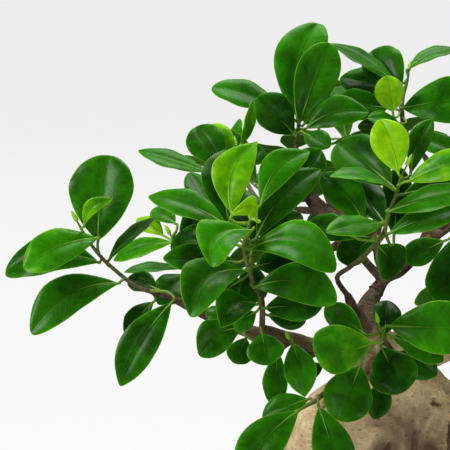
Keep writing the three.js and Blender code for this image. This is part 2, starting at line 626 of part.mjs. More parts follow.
function picturedLeaf(stem, row) {
  const [place, baseColumn, baseRow, baseDepth, tipColumn, tipRow, tipDepth] = row;
  const [widthPixels, roll, arch, fold, sweep, taper] = row.slice(7);
  const base = pictured(baseColumn, baseRow, baseDepth);
  const scale = (1 - baseDepth / VIEW_DISTANCE) * VIEW_PIXEL_MM;
  return {
    root: placeOn(stem, place),
    base,
    tip: pictured(tipColumn, tipRow, tipDepth),
    facing: viewForward.clone().negate(),
    width: widthPixels * scale,
    roll,
    arch,
    fold,
    sweep,
    taper,
    shares: BLADE_SHARES,
  };
}

// A seeded draw from 0 to 1.
function randomDraws(seed) {
  let state = seed;
  return () => {
    state = (state * 16807) % 2147483647;
    return state / 2147483647;
  };
}

function direction(bearing, climb) {
  const turn = THREE.MathUtils.degToRad(bearing);
  const rise = THREE.MathUtils.degToRad(climb);
  return new THREE.Vector3(
    Math.cos(turn) * Math.cos(rise), Math.sin(turn) * Math.cos(rise), Math.sin(rise),
  );
}

// A spray's stem: from the end of its limb, bending upwards as it goes.
function sprayStem(limb, { bearing, climb, length }) {
  const { at: foot, radius } = limb[limb.length - 1];
  const at = foot.clone();
  const stem = [{ at: foot, radius }];
  for (let step = 1; step <= SPRAY.steps; step += 1) {
    const share = step / SPRAY.steps;
    at.addScaledVector(direction(bearing, climb + SPRAY.bend * share), length / SPRAY.steps);
    stem.push({ at: at.clone(), radius: THREE.MathUtils.lerp(radius, SPRAY.tipRadius, share) });
  }
  return stem;
}

// The leaf of a spray at an index, turned about the stem by an angle from the rule's own. The
// six draws, from 0 to 1, are for its turn, pitch, length, width, roll and arch.
function sprayLeaf({ stem, leaves }, index, draws, turned) {
  const [turnDraw, pitchDraw, lengthDraw, widthDraw, rollDraw, archDraw] = draws;
  const { lerp, degToRad } = THREE.MathUtils;
  const share = index / (leaves - 1);
  const place = (stem.length - 1) * lerp(SPRAY.firstLeafAt, SPRAY.lastLeafAt, share);
  const whole = Math.min(Math.floor(place), stem.length - 2);
  const root = placeOn(stem, place);
  const along = stem[whole + 1].at.clone().sub(stem[whole].at).normalize();
  const level = new THREE.Vector3(0, 0, 1).cross(along).normalize();
  const raised = along.clone().cross(level);
  const angle = degToRad(SPRAY.turnPerLeaf * index + SPRAY.turnSpread * turnDraw + turned);
  const outwards = level.multiplyScalar(Math.cos(angle)).addScaledVector(raised, Math.sin(angle));
  const pitch = degToRad(
    lerp(SPRAY.pitchAtFoot, SPRAY.pitchAtTip, share) + SPRAY.pitchSpread * (pitchDraw - 0.5),
  );
  const heading = along.clone().multiplyScalar(Math.cos(pitch))
    .addScaledVector(outwards, Math.sin(pitch));
  const base = root.clone().addScaledVector(heading, SPRAY.stalk);
  heading.z -= SPRAY.droop;
  heading.normalize();
  const length = lerp(SPRAY.longest, SPRAY.shortest, share ** 2)
    * (1 + SPRAY.lengthSpread * (lengthDraw - 0.5));
  return {
    root,
    base,
    tip: base.clone().addScaledVector(heading, length),
    facing: along.clone().add(new THREE.Vector3(0, 0, SPRAY.skyward)).normalize(),
    width: length * SPRAY.slenderness * (1 + SPRAY.widthSpread * (widthDraw - 0.5)),
    roll: SPRAY.rollSpread * (rollDraw - 0.5),
    arch: SPRAY.archLeast + SPRAY.archSpread * archDraw,
    fold: SPRAY.fold,
    sweep: 0,
    taper: SPRAY.taper,
    shares: SPRAY.bladeShares,
  };
}

function boxesMeet(first, second) {
  const a = first.boundingBox();
  const b = second.boundingBox();
  return [0, 1, 2].every((axis) => a.min[axis] < b.max[axis] && b.min[axis] < a.max[axis]);
}

function crosses(solid, others) {
  return others.some((other) => boxesMeet(solid, other) && !solid.intersect(other).isEmpty());
}

// A tube's points with the last one moved on, or with a negative distance back.
function lengthened(points, distance) {
  const last = points[points.length - 1];
  const before = points[points.length - 2];
  const on = last.at.clone().sub(before.at).normalize().multiplyScalar(distance);
  return [...points.slice(0, -1), { at: last.at.clone().add(on), radius: last.radius }];
}

// The limb and the twig of a shoot, mitred to each other across a narrow gap.
function limbSolid({ limb, stem }) {
  return tube(lengthened(limb, -CLEARANCE), LIMB_SIDES, 0, null, stem[1].at);
}

function twigSolid({ limb, stem }) {
  return tube(stem, TWIG_SIDES, 0, limb[limb.length - 2].at);
}

function roundSolid(profile, sides) {
  const points = profile.map(([radius, height]) => new THREE.Vector2(radius, height));
  const geometry = new THREE.LatheGeometry(points, sides);
  geometry.rotateX(Math.PI / 2);
  return solidOf(geometry);
}

function boxSolid(width, depth, height, x, y, z) {
  return solidOf(new THREE.BoxGeometry(width, depth, height).translate(x, y, z));
}

// The pot's belly: its radius at a height, flaring from the foot to just under the lip.
const BELLY_TOP = POT_HEIGHT - POT_LIP_HEIGHT - 2;
const BELLY_TOP_RADIUS = POT_RIM_RADIUS - 4;
const BELLY_HEIGHTS = [0, 12, 32, BELLY_TOP];

function bellyRadius(height) {
  const flare = 1 - (1 - height / BELLY_TOP) ** BELLY_CURVE;
  return THREE.MathUtils.lerp(POT_FOOT_RADIUS, BELLY_TOP_RADIUS, flare);
}

function insideRadius(height) {
  return bellyRadius(height) - POT_WALL;
}

// Where the inside wall meets the floor, a little further in.
const FLOOR_RADIUS = insideRadius(POT_FLOOR) - 2;

function potSolid() {
  const outside = BELLY_HEIGHTS.map((height) => [bellyRadius(height), height]);
  const inside = BELLY_HEIGHTS.filter((height) => height > POT_FLOOR)
    .map((height) => [insideRadius(height), height]).reverse();
  const shell = roundSolid([
    [0, 0],
    ...outside,
    [POT_RIM_RADIUS, POT_HEIGHT - POT_LIP_HEIGHT],
    [POT_RIM_RADIUS, POT_HEIGHT - POT_LIP_ROUNDING],
    [POT_RIM_RADIUS - POT_LIP_ROUNDING, POT_HEIGHT],
    [POT_RIM_RADIUS - POT_LIP + POT_LIP_ROUNDING, POT_HEIGHT],
    [POT_RIM_RADIUS - POT_LIP, POT_HEIGHT - POT_LIP_ROUNDING],
    ...inside,
    [FLOOR_RADIUS, POT_FLOOR],
    [0, POT_FLOOR],
  ], POT_SIDES);
  const cuts = [];
  for (const side of [-1, 1]) {
    const drain = new THREE.CylinderGeometry(
      DRAIN_RADIUS, DRAIN_RADIUS, 3 * POT_FLOOR, DRAIN_SIDES,
    );
    drain.rotateX(Math.PI / 2).translate(side * DRAIN_OFFSET, 0, POT_FLOOR / 2);
    cuts.push(solidOf(drain));
    cuts.push(boxSolid(
      POT_FOOT_RADIUS, DRAIN_RADIUS, 2 * DRAIN_GROOVE_DEPTH,
      side * (DRAIN_OFFSET + POT_FOOT_RADIUS / 2), 0, 0,
    ));
  }
  return shell.subtract(united(cuts));
}

// What lies on the pot's floor starts here.
const FILL_BASE = POT_FLOOR + CLEARANCE;

function screenSolid(side) {
  const x = side * DRAIN_OFFSET;
  const z = FILL_BASE + SCREEN_THICKNESS / 2;
  const holes = [];
  for (const across of [-0.5, 0.5]) {
    for (const along of [-0.5, 0.5]) {
      holes.push(boxSolid(
        SCREEN_HOLE, SCREEN_HOLE, 3 * SCREEN_THICKNESS,
        x + across * SCREEN_PITCH, along * SCREEN_PITCH, z,
      ));
    }
  }
  return boxSolid(SCREEN_SIDE, SCREEN_SIDE, SCREEN_THICKNESS, x, 0, z).subtract(united(holes));
}

// The heap of soil, hollowed for the roots and for the screens that it lies on.
function soilSolid(rootHoles) {
  const edgeHeight = POT_HEIGHT - SOIL_BELOW_RIM;
  const inset = 2 * CLEARANCE;
  const edge = insideRadius(BELLY_TOP) - inset;
  const wall = BELLY_HEIGHTS.filter((height) => height > FILL_BASE)
    .map((height) => [insideRadius(height) - inset, height]);
  const heap = roundSolid([
    [0, FILL_BASE],
    [FLOOR_RADIUS - inset, FILL_BASE],
    ...wall,
    [edge, edgeHeight],
    [edge * 0.8, edgeHeight + SOIL_CROWN * 0.45],
    [edge * 0.5, edgeHeight + SOIL_CROWN * 0.85],
    [0, edgeHeight + SOIL_CROWN],
  ], POT_SIDES);
  const seats = [-1, 1].map((side) => boxSolid(
    SCREEN_SIDE + inset, SCREEN_SIDE + inset, 2 * (SCREEN_THICKNESS + CLEARANCE),
    side * DRAIN_OFFSET, 0, FILL_BASE,
  ));
  return heap.subtract(united([rootHoles, ...seats]));
}

const ficus = new THREE.Group();

function addPart(name, solid, finish) {
  const mesh = new THREE.Mesh(geometryOf(solid), new THREE.MeshStandardMaterial(finish));
  mesh.name = name;
  ficus.add(mesh);
}

const shoots = picturedShoots.map(({ name, limb, stem, leaves }) => {
  const wood = picturedTube(limb);
  return { name, leaves, limb: wood, stem: [wood[wood.length - 1], ...picturedTube(stem)] };
});
const filled = sprays.map((spray) => {
  const limb = tubePoints(spray.limb);
  return { ...spray, limb, stem: sprayStem(limb, spray) };
});

// Pot, drainage screens, soil, and the roots and limbs as one grown piece.
const roots = swollenRoots.map(picturedTube);
const wood = united([
  ...roots.map((points) => tube(points, ROOT_SIDES)),
  ...hiddenLimbs.map((points) => tube(tubePoints(points), LIMB_SIDES)),
  ...[...shoots, ...filled].map(limbSolid),
]).simplify(JOINT_TOLERANCE);
const rootHoles = united(roots.map((points) => (
  tube(lengthened(points, CLEARANCE), ROOT_SIDES, CLEARANCE))));
addPart('pot', potSolid(), GLAZE);
addPart('drain_screen_left', screenSolid(-1), MESH_PLASTIC);
addPart('drain_screen_right', screenSolid(1), MESH_PLASTIC);
addPart('soil', soilSolid(rootHoles), EARTH);
addPart('roots_and_limbs', wood, BARK);

// The shoots of the near side, then the rest, each leaf clear of all that stands already.
const standing = [wood];

function addShoot(name, twig, leaves) {
  const grown = united([twig, ...leaves]).simplify(JOINT_TOLERANCE);
  standing.push(grown);
  addPart(name, grown, LEAF);
}

for (const shoot of shoots) {
  const leaves = shoot.leaves.map((row) => leafSolid(picturedLeaf(shoot.stem, row)));
  addShoot(shoot.name, twigSolid(shoot), leaves);
}

const twigs = filled.map(twigSolid);
filled.forEach((spray, number) => {
  const next = randomDraws(spray.seed);
  const obstacles = [...standing, ...twigs.slice(number + 1)];
  const leaves = [];
  for (let index = 0; index < spray.leaves; index += 1) {
    const draws = [next(), next(), next(), next(), next(), next()];
    const turn = SPRAY.turnsTried.find((turned) => !crosses(
      leafSolid(sprayLeaf(spray, index, draws, turned), CLEARANCE), [...obstacles, ...leaves],
    ));
    if (turn !== undefined) {
      leaves.push(leafSolid(sprayLeaf(spray, index, draws, turn)));
    }
  }
  addShoot(spray.name, twigs[number], leaves);
});

export default ficus;
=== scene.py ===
"""Ficus ginseng bonsai: its leaves, twigs, roots, soil and pot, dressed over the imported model."""

import math
import random

import bpy
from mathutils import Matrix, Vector
from mathutils.kdtree import KDTree


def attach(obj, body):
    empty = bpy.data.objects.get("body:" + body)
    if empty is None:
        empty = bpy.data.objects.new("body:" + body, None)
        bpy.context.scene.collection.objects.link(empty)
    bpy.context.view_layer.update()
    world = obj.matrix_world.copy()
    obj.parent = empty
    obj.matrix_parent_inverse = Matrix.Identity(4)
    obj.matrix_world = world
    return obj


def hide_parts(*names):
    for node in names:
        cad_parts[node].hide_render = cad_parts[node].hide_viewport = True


bl_info = {
    "name": "Ficus ginseng bonsai",
    "version": (1, 0, 0),
    "blender": (4, 5, 0),
    "location": "View3D > Sidebar > Ficus",
    "description": "Makes the leaves, wood, soil and pot of a ficus ginseng bonsai",
    "category": "Object",
}

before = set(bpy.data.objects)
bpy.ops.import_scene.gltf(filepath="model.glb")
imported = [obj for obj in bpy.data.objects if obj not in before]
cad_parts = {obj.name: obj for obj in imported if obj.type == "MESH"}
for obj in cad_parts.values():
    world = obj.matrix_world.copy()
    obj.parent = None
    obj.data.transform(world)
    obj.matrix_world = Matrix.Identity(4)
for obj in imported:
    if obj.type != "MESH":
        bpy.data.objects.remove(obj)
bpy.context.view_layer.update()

MM = 0.001
BODY = "root"

# The view in which the near side of the crown is laid out: a square picture of 450 pixels.
# Depths there are millimetres towards the eye from the plane through the pot's axis.
VIEW_PIXELS = 450
VIEW_PIXEL_MM = 0.45
VIEW_DISTANCE = 750
VIEW_TILT = math.radians(10)
VIEW_AXIS_COLUMN = 400
VIEW_CENTRE_HEIGHT = 260
SENSOR_MM = 36

VIEW_FORWARD = Vector((0, math.cos(VIEW_TILT), -math.sin(VIEW_TILT)))
VIEW_RIGHT = Vector((1, 0, 0))
VIEW_UP = Vector((0, math.sin(VIEW_TILT), math.cos(VIEW_TILT)))
VIEW_CENTRE = Vector((
    (VIEW_PIXELS / 2 - VIEW_AXIS_COLUMN) * VIEW_PIXEL_MM, 0, VIEW_CENTRE_HEIGHT))
VIEW_EYE = VIEW_CENTRE - VIEW_FORWARD * VIEW_DISTANCE

# The outlines of a blunt leaf and of a tapered one, between which a leaf's taper goes: the share
# of the length where the blade is widest, a power that is small for a full outline, how much
# smaller that is at the outer end, and how much the end draws in to a short point.
BLUNT_LEAF = {"widest": 0.6, "power": 0.55, "rounding": 0.14, "point": 0.1}
TAPERED_LEAF = {"widest": 0.5, "power": 0.85, "rounding": 0, "point": 0.2}

# Shoots read in the picture. A limb is the wood that leads to a shoot and a stem goes on from
# its end, both as lists of [column, row, depth, radius]. A leaf is
# [stem place, base column, row, depth, tip column, row, depth, width in pixels,
#  roll in degrees, arch, fold, sweep, taper, youth]. The stem place counts points from the
# limb's end. Roll turns the blade about its length, from facing the eye. Arch and sweep are how
# far the midrib bows upwards and sideways, in lengths. Fold is the slope of each half above the
# midrib. Taper is 0 for a blunt outline and 1 for a tapered one. Youth is 0 for an old dark leaf
# and 1 for a new one.
PICTURED_SHOOTS = {
    "shoot_left": {
        "limb": [
            [290, 339, 46, 2.4], [252, 332, 40, 2.2], [216, 318, 40, 1.9], [186, 304, 44, 1.6],
            [160, 294, 46, 1.3],
        ],
        "stem": [
            [140, 288, 47, 1.1], [127, 280, 48, 1.0], [104, 260, 50, 0.9],
            [90, 243, 52, 0.8], [83, 232, 53, 0.7], [77, 221, 54, 0.4],
        ],
        "leaves": [
            [3.4, 98, 240, 51, 108, 155, 46, 66, -8, 0.04, 0.12, -0.02, 0, 0.25],
            [4.8, 84, 226, 56, 112, 199, 61, 15, 0, 0.1, 0.3, -0.2, 0.3, 0.5],
            [4.2, 97, 238, 54, 24, 269, 64, 43, 26, 0.06, 0.1, 0.07, 0.2, 0.4],
            [3.2, 98, 262, 48, 5, 272, 40, 45, 32, 0.08, 0.1, 0.1, 0.1, 0.1],
            [2.1, 118, 283, 51, 31, 333, 60, 43, 18, 0.05, 0.12, 0.14, 0.2, 0.15],
            [2.6, 108, 260, 47, 155, 217, 38, 25, -56, 0.05, 0.15, 0, 0.4, 0.1],
            [0.6, 157, 289, 44, 128, 277, 38, 26, 30, 0.05, 0.12, 0, 0.4, 0.1],
            [0.5, 171, 303, 52, 120, 386, 57, 39, 10, 0.05, 0.12, 0.05, 0.5, 0.15],
            [0.9, 153, 302, 43, 124, 333, 36, 24, 20, 0.05, 0.12, 0, 0.4, 0.1],
        ],
    },
    "shoot_left_back": {
        "limb": [[252, 332, 40, 2], [232, 312, 24, 1.7], [214, 292, 12, 1.3]],
        "stem": [
            [198, 272, 8, 1.1], [184, 256, 4, 0.9], [175, 243, 2, 0.7],
            [170, 234, 1, 0.4],
        ],
        "leaves": [
            [2.2, 172, 242, 6, 113, 260, -2, 25, 42, 0.05, 0.12, 0.03, 0.5, 0.5],
            [3.2, 163, 235, -4, 137, 218, -12, 22, 35, 0.05, 0.12, 0, 0.5, 0.75],
            [3.6, 175, 223, -2, 153, 208, -14, 24, 30, 0.05, 0.12, 0, 0.4, 0.2],
            [1.6, 182, 268, 12, 124, 272, 20, 20, 60, 0.06, 0.12, 0, 0.5, 0.35],
            [0.8, 190, 276, 14, 158, 304, 26, 34, 20, 0.05, 0.12, 0.05, 0.4, 0.2],
            [2.9, 180, 236, 0, 197, 213, -8, 22, 20, 0.05, 0.1, 0, 0.3, 0.15],
        ],
    },
    "shoot_middle": {
        "limb": [
            [382, 362, -2, 7], [366, 355, 8, 5], [342, 352, 22, 4], [316, 348, 34, 3.2],
            [290, 339, 46, 2.6], [274, 333, 56, 1.9], [262, 330, 60, 1.5],
        ],
        "stem": [
            [262, 300, 68, 1.2], [255, 288, 72, 1.1], [249, 270, 76, 1.0],
            [245, 255, 79, 0.95], [244, 246, 81, 0.9], [247, 232, 83, 0.75],
            [250, 218, 84, 0.4],
        ],
        "leaves": [
            [6.6, 232, 214, 86, 258, 141, 76, 41, -8, 0.05, 0.15, -0.17, 1, 0.7],
            [5.6, 251, 230, 90, 211, 266, 104, 46, 24, 0.05, 0.3, 0.27, 0.2, 0.38],
            [7.0, 257, 221, 90, 231, 215, 98, 21, -10, 0.08, 0.15, 0.42, 0.6, 1],
            [6.3, 261, 204, 84, 310, 151, 74, 34, -12, 0.05, 0.15, -0.15, 0.6, 0.35],
            [5.4, 257, 237, 77, 321, 169, 62, 38, -12, 0.05, 0.12, -0.09, 0.5, 0.05],
            [6.1, 226, 225, 82, 148, 196, 70, 34, 32, 0.05, 0.12, 0.05, 0.6, 0.3],
            [5.6, 230, 224, 77, 229, 149, 61, 48, 12, 0.05, 0.1, -0.08, 0.3, 0.1],
            [4.9, 222, 230, 70, 189, 172, 48, 32, 20, 0.05, 0.1, 0, 0.3, 0.1],
            [3.8, 236, 262, 76, 163, 258, 80, 32, 25, 0.05, 0.12, 0, 0.4, 0.05],
            [4.4, 232, 240, 70, 170, 246, 56, 38, 20, 0.05, 0.12, 0, 0.3, 0.1],
            [3.1, 247, 270, 80, 190, 316, 98, 48, 22, 0.05, 0.3, 0.22, 0.2, 0.25],
            [1.4, 257, 304, 72, 221, 327, 86, 36, 20, 0.05, 0.25, 0.24, 0.6, 0.25],
            [0.9, 256, 312, 66, 236, 331, 70, 22, 0, 0.05, 0.12, 0.1, 0.4, 0.1],
            [4.6, 250, 249, 85, 336, 269, 100, 43, -10, 0.05, 0.1, -0.2, 0.1, 0.25],
            [2.4, 255, 287, 78, 337, 300, 85, 42, -10, 0.05, 0.1, -0.14, 0.1, 0.2],
            [1.1, 265, 308, 71, 323, 304, 72, 34, -15, 0.05, 0.12, 0, 0.3, 0.1],
            [0.6, 268, 315, 64, 306, 321, 62, 24, -10, 0.05, 0.12, 0, 0.3, 0.1],
            [3.5, 256, 266, 70, 300, 258, 50, 40, -10, 0.05, 0.12, 0, 0.3, 0.05],
            [2.8, 241, 280, 66, 214, 298, 50, 34, 10, 0.05, 0.12, 0, 0.3, 0.05],
            [5.2, 258, 243, 72, 302, 214, 50, 30, -10, 0.05, 0.12, 0, 0.3, 0.05],
            [3, 252, 262, 64, 252, 304, 50, 34, 0, 0.05, 0.1, 0, 0.3, 0.05],
            [4, 250, 244, 66, 238, 188, 52, 42, 8, 0.05, 0.1, 0, 0.3, 0.05],
        ],
    },
    "shoot_low_left": {
        "limb": [[290, 339, 46, 2.4], [280, 349, 48, 1.4]],
        "stem": [[266, 344, 58, 1.1], [250, 338, 60, 0.9], [233, 326, 60, 0.5]],
        "leaves": [
            [2.3, 240, 328, 61, 199, 355, 66, 37, 8, 0.05, 0.12, 0.14, 0.3, 0.1],
            [1.9, 246, 338, 56, 235, 364, 52, 27, 0, 0.05, 0.12, 0, 0.3, 0.15],
            [1.0, 262, 333, 68, 268, 365, 74, 38, 0, 0.05, 0.1, 0, 0.2, 0.2],
            [2.9, 224, 316, 55, 205, 311, 52, 16, 20, 0.05, 0.12, 0, 0.5, 0.15],
            [0.4, 278, 352, 44, 275, 408, 38, 27, 22, 0.05, 0.15, 0, 0.5, 0.15],
        ],
    },
    "shoot_low_middle": {
        "limb": [[316, 348, 34, 2.4], [308, 357, 40, 1.4]],
        "stem": [[300, 354, 48, 1.1], [294, 347, 55, 0.8], [289, 338, 60, 0.5]],
        "leaves": [
            [2.7, 293, 343, 63, 305, 397, 68, 33, 0, 0.05, 0.12, -0.02, 0.8, 0.3],
            [0.6, 305, 362, 40, 316, 378, 34, 24, 0, 0.05, 0.12, 0, 0.4, 0.1],
        ],
    },
    "shoot_low_front": {
        "limb": [[366, 355, 8, 4], [352, 374, 28, 2.2], [334, 388, 44, 1.5]],
        "stem": [
            [323, 394, 48, 1.2], [317, 400, 50, 1.1], [306, 406, 52, 0.9],
            [298, 411, 54, 0.5],
        ],
        "leaves": [
            [2.4, 308, 399, 48, 262, 417, 45, 30, 25, 0.05, 0.12, 0, 0.5, 0.25],
            [3.9, 298, 411, 56, 240, 485, 64, 45, 15, 0.05, 0.12, 0.08, 0.4, 0.22],
            [1.6, 319, 407, 54, 346, 492, 62, 42, -5, 0.05, 0.15, 0, 0.6, 0.15],
        ],
    },
    "shoot_low_right": {
        "limb": [[386, 364, -2, 6], [396, 366, 18, 2.6], [398, 362, 34, 1.6]],
        "stem": [
            [390, 348, 44, 1.3], [384, 338, 52, 1.1], [380, 330, 58, 0.8],
            [378, 322, 60, 0.4],
        ],
        "leaves": [
            [2.6, 371, 343, 64, 313, 340, 76, 50, -8, 0.04, 0.12, -0.12, 0, 0.5],
            [2.9, 390, 326, 60, 482, 329, 70, 54, -5, 0.04, 0.12, 0, 0.2, 0.4],
            [2.1, 360, 366, 56, 338, 420, 64, 50, 0, 0.05, 0.1, 0, 0, 0.12],
            [1.2, 382, 348, 50, 402, 393, 56, 50, 0, 0.05, 0.1, 0, 0.1, 0.02],
            [0.6, 398, 352, 40, 437, 375, 42, 32, -15, 0.05, 0.1, 0, 0.4, 0.1],
            [1.6, 392, 336, 56, 444, 360, 54, 30, -30, 0.05, 0.1, 0, 0.3, 0.15],
            [0.2, 384, 380, 40, 374, 419, 46, 26, 0, 0.05, 0.12, 0, 0.3, 0.1],
            [2.9, 362, 332, 50, 325, 306, 42, 28, 10, 0.05, 0.1, 0, 0.3, 0.3],
            [2.4, 384, 334, 50, 388, 300, 40, 30, 0, 0.05, 0.1, 0, 0.3, 0.05],
        ],
    },
    "shoot_right": {
        "limb": [[366, 332, -5, 6], [358, 318, 4, 4], [352, 307, 18, 2.3], [348, 296, 32, 1.4]],
        "stem": [
            [337, 278, 50, 1.2], [350, 267, 58, 1.1], [365, 255, 64, 1.0],
            [375, 245, 68, 0.95], [384, 235, 72, 0.9], [388, 215, 75, 0.85],
            [396, 195, 78, 0.75], [400, 180, 80, 0.6], [407, 165, 82, 0.35],
        ],
        "leaves": [
            [8.2, 398, 172, 83, 380, 119, 80, 39, -5, 0.05, 0.15, 0.04, 0.3, 0.9],
            [8.0, 411, 173, 79, 434, 119, 66, 24, 10, 0.05, 0.12, -0.1, 0.7, 0.15],
            [7.6, 408, 181, 84, 485, 158, 94, 34, -26, 0.05, 0.12, -0.03, 0.5, 0.5],
            [6.3, 389, 211, 80, 476, 191, 96, 32, -38, 0.05, 0.12, 0, 0.6, 0.3],
            [5.4, 389, 233, 76, 466, 207, 84, 36, -40, 0.05, 0.12, 0, 0.3, 0.15],
            [6.9, 404, 194, 73, 462, 183, 60, 30, -20, 0.05, 0.12, 0, 0.5, 0.15],
            [7.3, 394, 189, 82, 330, 176, 90, 30, 64, 0.1, 0.15, 0.03, 0.6, 0.35],
            [7.1, 391, 185, 75, 338, 142, 56, 52, 10, 0.05, 0.1, 0, 0, 0.1],
            [5.7, 364, 223, 68, 322, 173, 60, 38, 10, 0.05, 0.1, 0.06, 0.4, 0.1],
            [6.1, 384, 222, 70, 352, 182, 50, 38, 10, 0.05, 0.1, 0, 0.3, 0],
            [4.2, 380, 223, 74, 326, 232, 88, 34, 48, 0.06, 0.12, -0.04, 0.6, 0.4],
            [3.2, 378, 246, 60, 400, 272, 42, 40, -10, 0.05, 0.1, 0, 0.3, 0.05],
            [4, 374, 238, 60, 338, 260, 44, 30, 0, 0.05, 0.1, 0, 0.2, 0.05],
            [5.2, 394, 236, 58, 399, 166, 50, 32, 0, 0.05, 0.1, 0, 0.3, 0.05],
            [4.6, 356, 238, 58, 308, 222, 42, 32, 20, 0.05, 0.1, 0, 0.3, 0.1],
        ],
    },
    "shoot_top_left": {
        "limb": [[307, 193, -8, 2.2], [284, 204, 6, 1.8], [264, 208, 20, 1.5]],
        "stem": [
            [252, 192, 12, 1.2], [243, 174, 6, 1.0], [238, 158, 2, 0.8],
            [236, 146, 0, 0.4],
        ],
        "leaves": [
            [3.6, 241, 146, 4, 253, 100, 2, 18, 50, 0.05, 0.2, 0, 0.7, 0.5],
            [2.2, 222, 166, 8, 195, 127, 0, 40, 10, 0.05, 0.12, 0, 0, 0.15],
            [3, 232, 160, 2, 211, 124, -8, 28, 0, 0.05, 0.12, 0, 0.3, 0.7],
            [1.4, 208, 172, 10, 138, 150, 4, 28, 48, 0.05, 0.12, -0.05, 0.6, 0.25],
            [2.8, 247, 164, -2, 262, 147, -12, 26, 0, 0.05, 0.12, 0, 0.3, 0.2],
        ],
    },
    "shoot_top": {
        "limb": [
            [382, 281, -10, 3.2], [367, 262, -9, 3], [352, 243, -8, 3.2], [335, 224, -8, 3.4],
            [319, 208, -8, 2.9], [307, 194, -8, 2.3], [300, 178, -8, 1.8], [298, 166, -8, 1.5],
        ],
        "stem": [
            [296, 145, -14, 1.2], [298, 130, -16, 1.0], [299, 118, -18, 0.8],
            [300, 108, -19, 0.4],
        ],
        "leaves": [
            [3.2, 300, 122, -14, 330, 43, -20, 44, 5, 0.05, 0.12, -0.02, 0, 0.25],
            [3.4, 297, 117, -24, 318, 23, -40, 50, 0, 0.05, 0.12, -0.11, 0, 0.3],
            [2.6, 283, 114, -18, 212, 87, -22, 36, 36, 0.05, 0.12, 0.04, 0.1, 0.25],
            [1.8, 294, 134, -10, 257, 97, -6, 42, 20, 0.05, 0.12, 0, 0.2, 0.1],
            [2.2, 306, 128, -12, 369, 112, -8, 35, -25, 0.05, 0.12, -0.12, 0.5, 0.2],
            [1.2, 304, 133, -8, 330, 147, 0, 24, -20, 0.05, 0.12, 0, 0.3, 0.2],
            [2.9, 304, 124, -24, 332, 96, -34, 30, -10, 0.05, 0.12, 0, 0.3, 0.1],
            [0.6, 303, 175, 0, 321, 150, 5, 32, -10, 0.05, 0.12, 0, 0.3, 0.1],
        ],
    },
    "shoot_top_right": {
        "limb": [
            [400, 384, -4, 14], [382, 358, -4, 10], [366, 330, -5, 8], [366, 308, -6, 6.2],
            [374, 292, -8, 4.8], [383, 279, -11, 3.8], [403, 265, -15, 3.4], [419, 250, -18, 3.1],
            [427, 235, -20, 2.9], [434, 218, -22, 2.7], [438, 194, -26, 2.5], [428, 164, -33, 2.2],
            [412, 142, -38, 1.9], [404, 130, -40, 1.5],
        ],
        "stem": [
            [402, 112, -44, 1.3], [403, 96, -48, 1.1], [407, 82, -50, 0.8],
            [409, 70, -51, 0.4],
        ],
        "leaves": [
            [3.2, 396, 83, -50, 330, 43, -56, 33, 56, 0.04, 0.12, 0.01, 0.6, 0.3],
            [2.8, 401, 87, -54, 371, 51, -66, 43, 0, 0.05, 0.12, 0, 0, 0.1],
            [3.6, 408, 69, -50, 459, 49, -56, 22, -50, 0.05, 0.12, -0.1, 0.3, 0.25],
            [1.3, 393, 112, -36, 386, 76, -32, 30, 0, 0.05, 0.15, 0, 0.1, 0.85],
            [1.6, 403, 108, -42, 484, 98, -36, 49, -14, 0.05, 0.12, -0.01, 0, 0.2],
            [0.7, 400, 123, -34, 368, 118, -28, 22, 40, 0.05, 0.12, 0, 0.4, 0.35],
            [0.5, 413, 136, -36, 456, 151, -30, 27, -25, 0.05, 0.12, 0, 0.4, 0.2],
            [2.4, 394, 92, -54, 340, 78, -62, 40, 36, 0.05, 0.12, 0, 0.3, 0.2],
            [1.0, 388, 108, -48, 333, 104, -45, 34, 16, 0.05, 0.12, 0, 0.3, 0.2],
            [0.4, 392, 132, -38, 358, 126, -34, 22, 10, 0.05, 0.12, 0, 0.3, 0.1],
        ],
    },
    "shoot_inner": {
        "limb": [[429, 232, -20, 2.4], [440, 234, -6, 1.7], [448, 230, 2, 1.3]],
        "stem": [[456, 222, 6, 1.1], [462, 212, 8, 0.8], [466, 202, 9, 0.5]],
        "leaves": [
            [0.9, 452, 240, 4, 452, 303, -8, 56, 0, 0.05, 0.1, 0, 0, 0.1],
            [1.2, 444, 241, 11, 402, 260, 4, 28, 0, 0.05, 0.1, 0, 0.3, 0.05],
            [1.4, 466, 226, 6, 506, 238, 0, 34, -20, 0.05, 0.12, 0, 0.3, 0.1],
            [2.6, 470, 208, 10, 500, 220, 18, 34, -10, 0.05, 0.12, 0, 0.3, 0.1],
        ],
    },
}

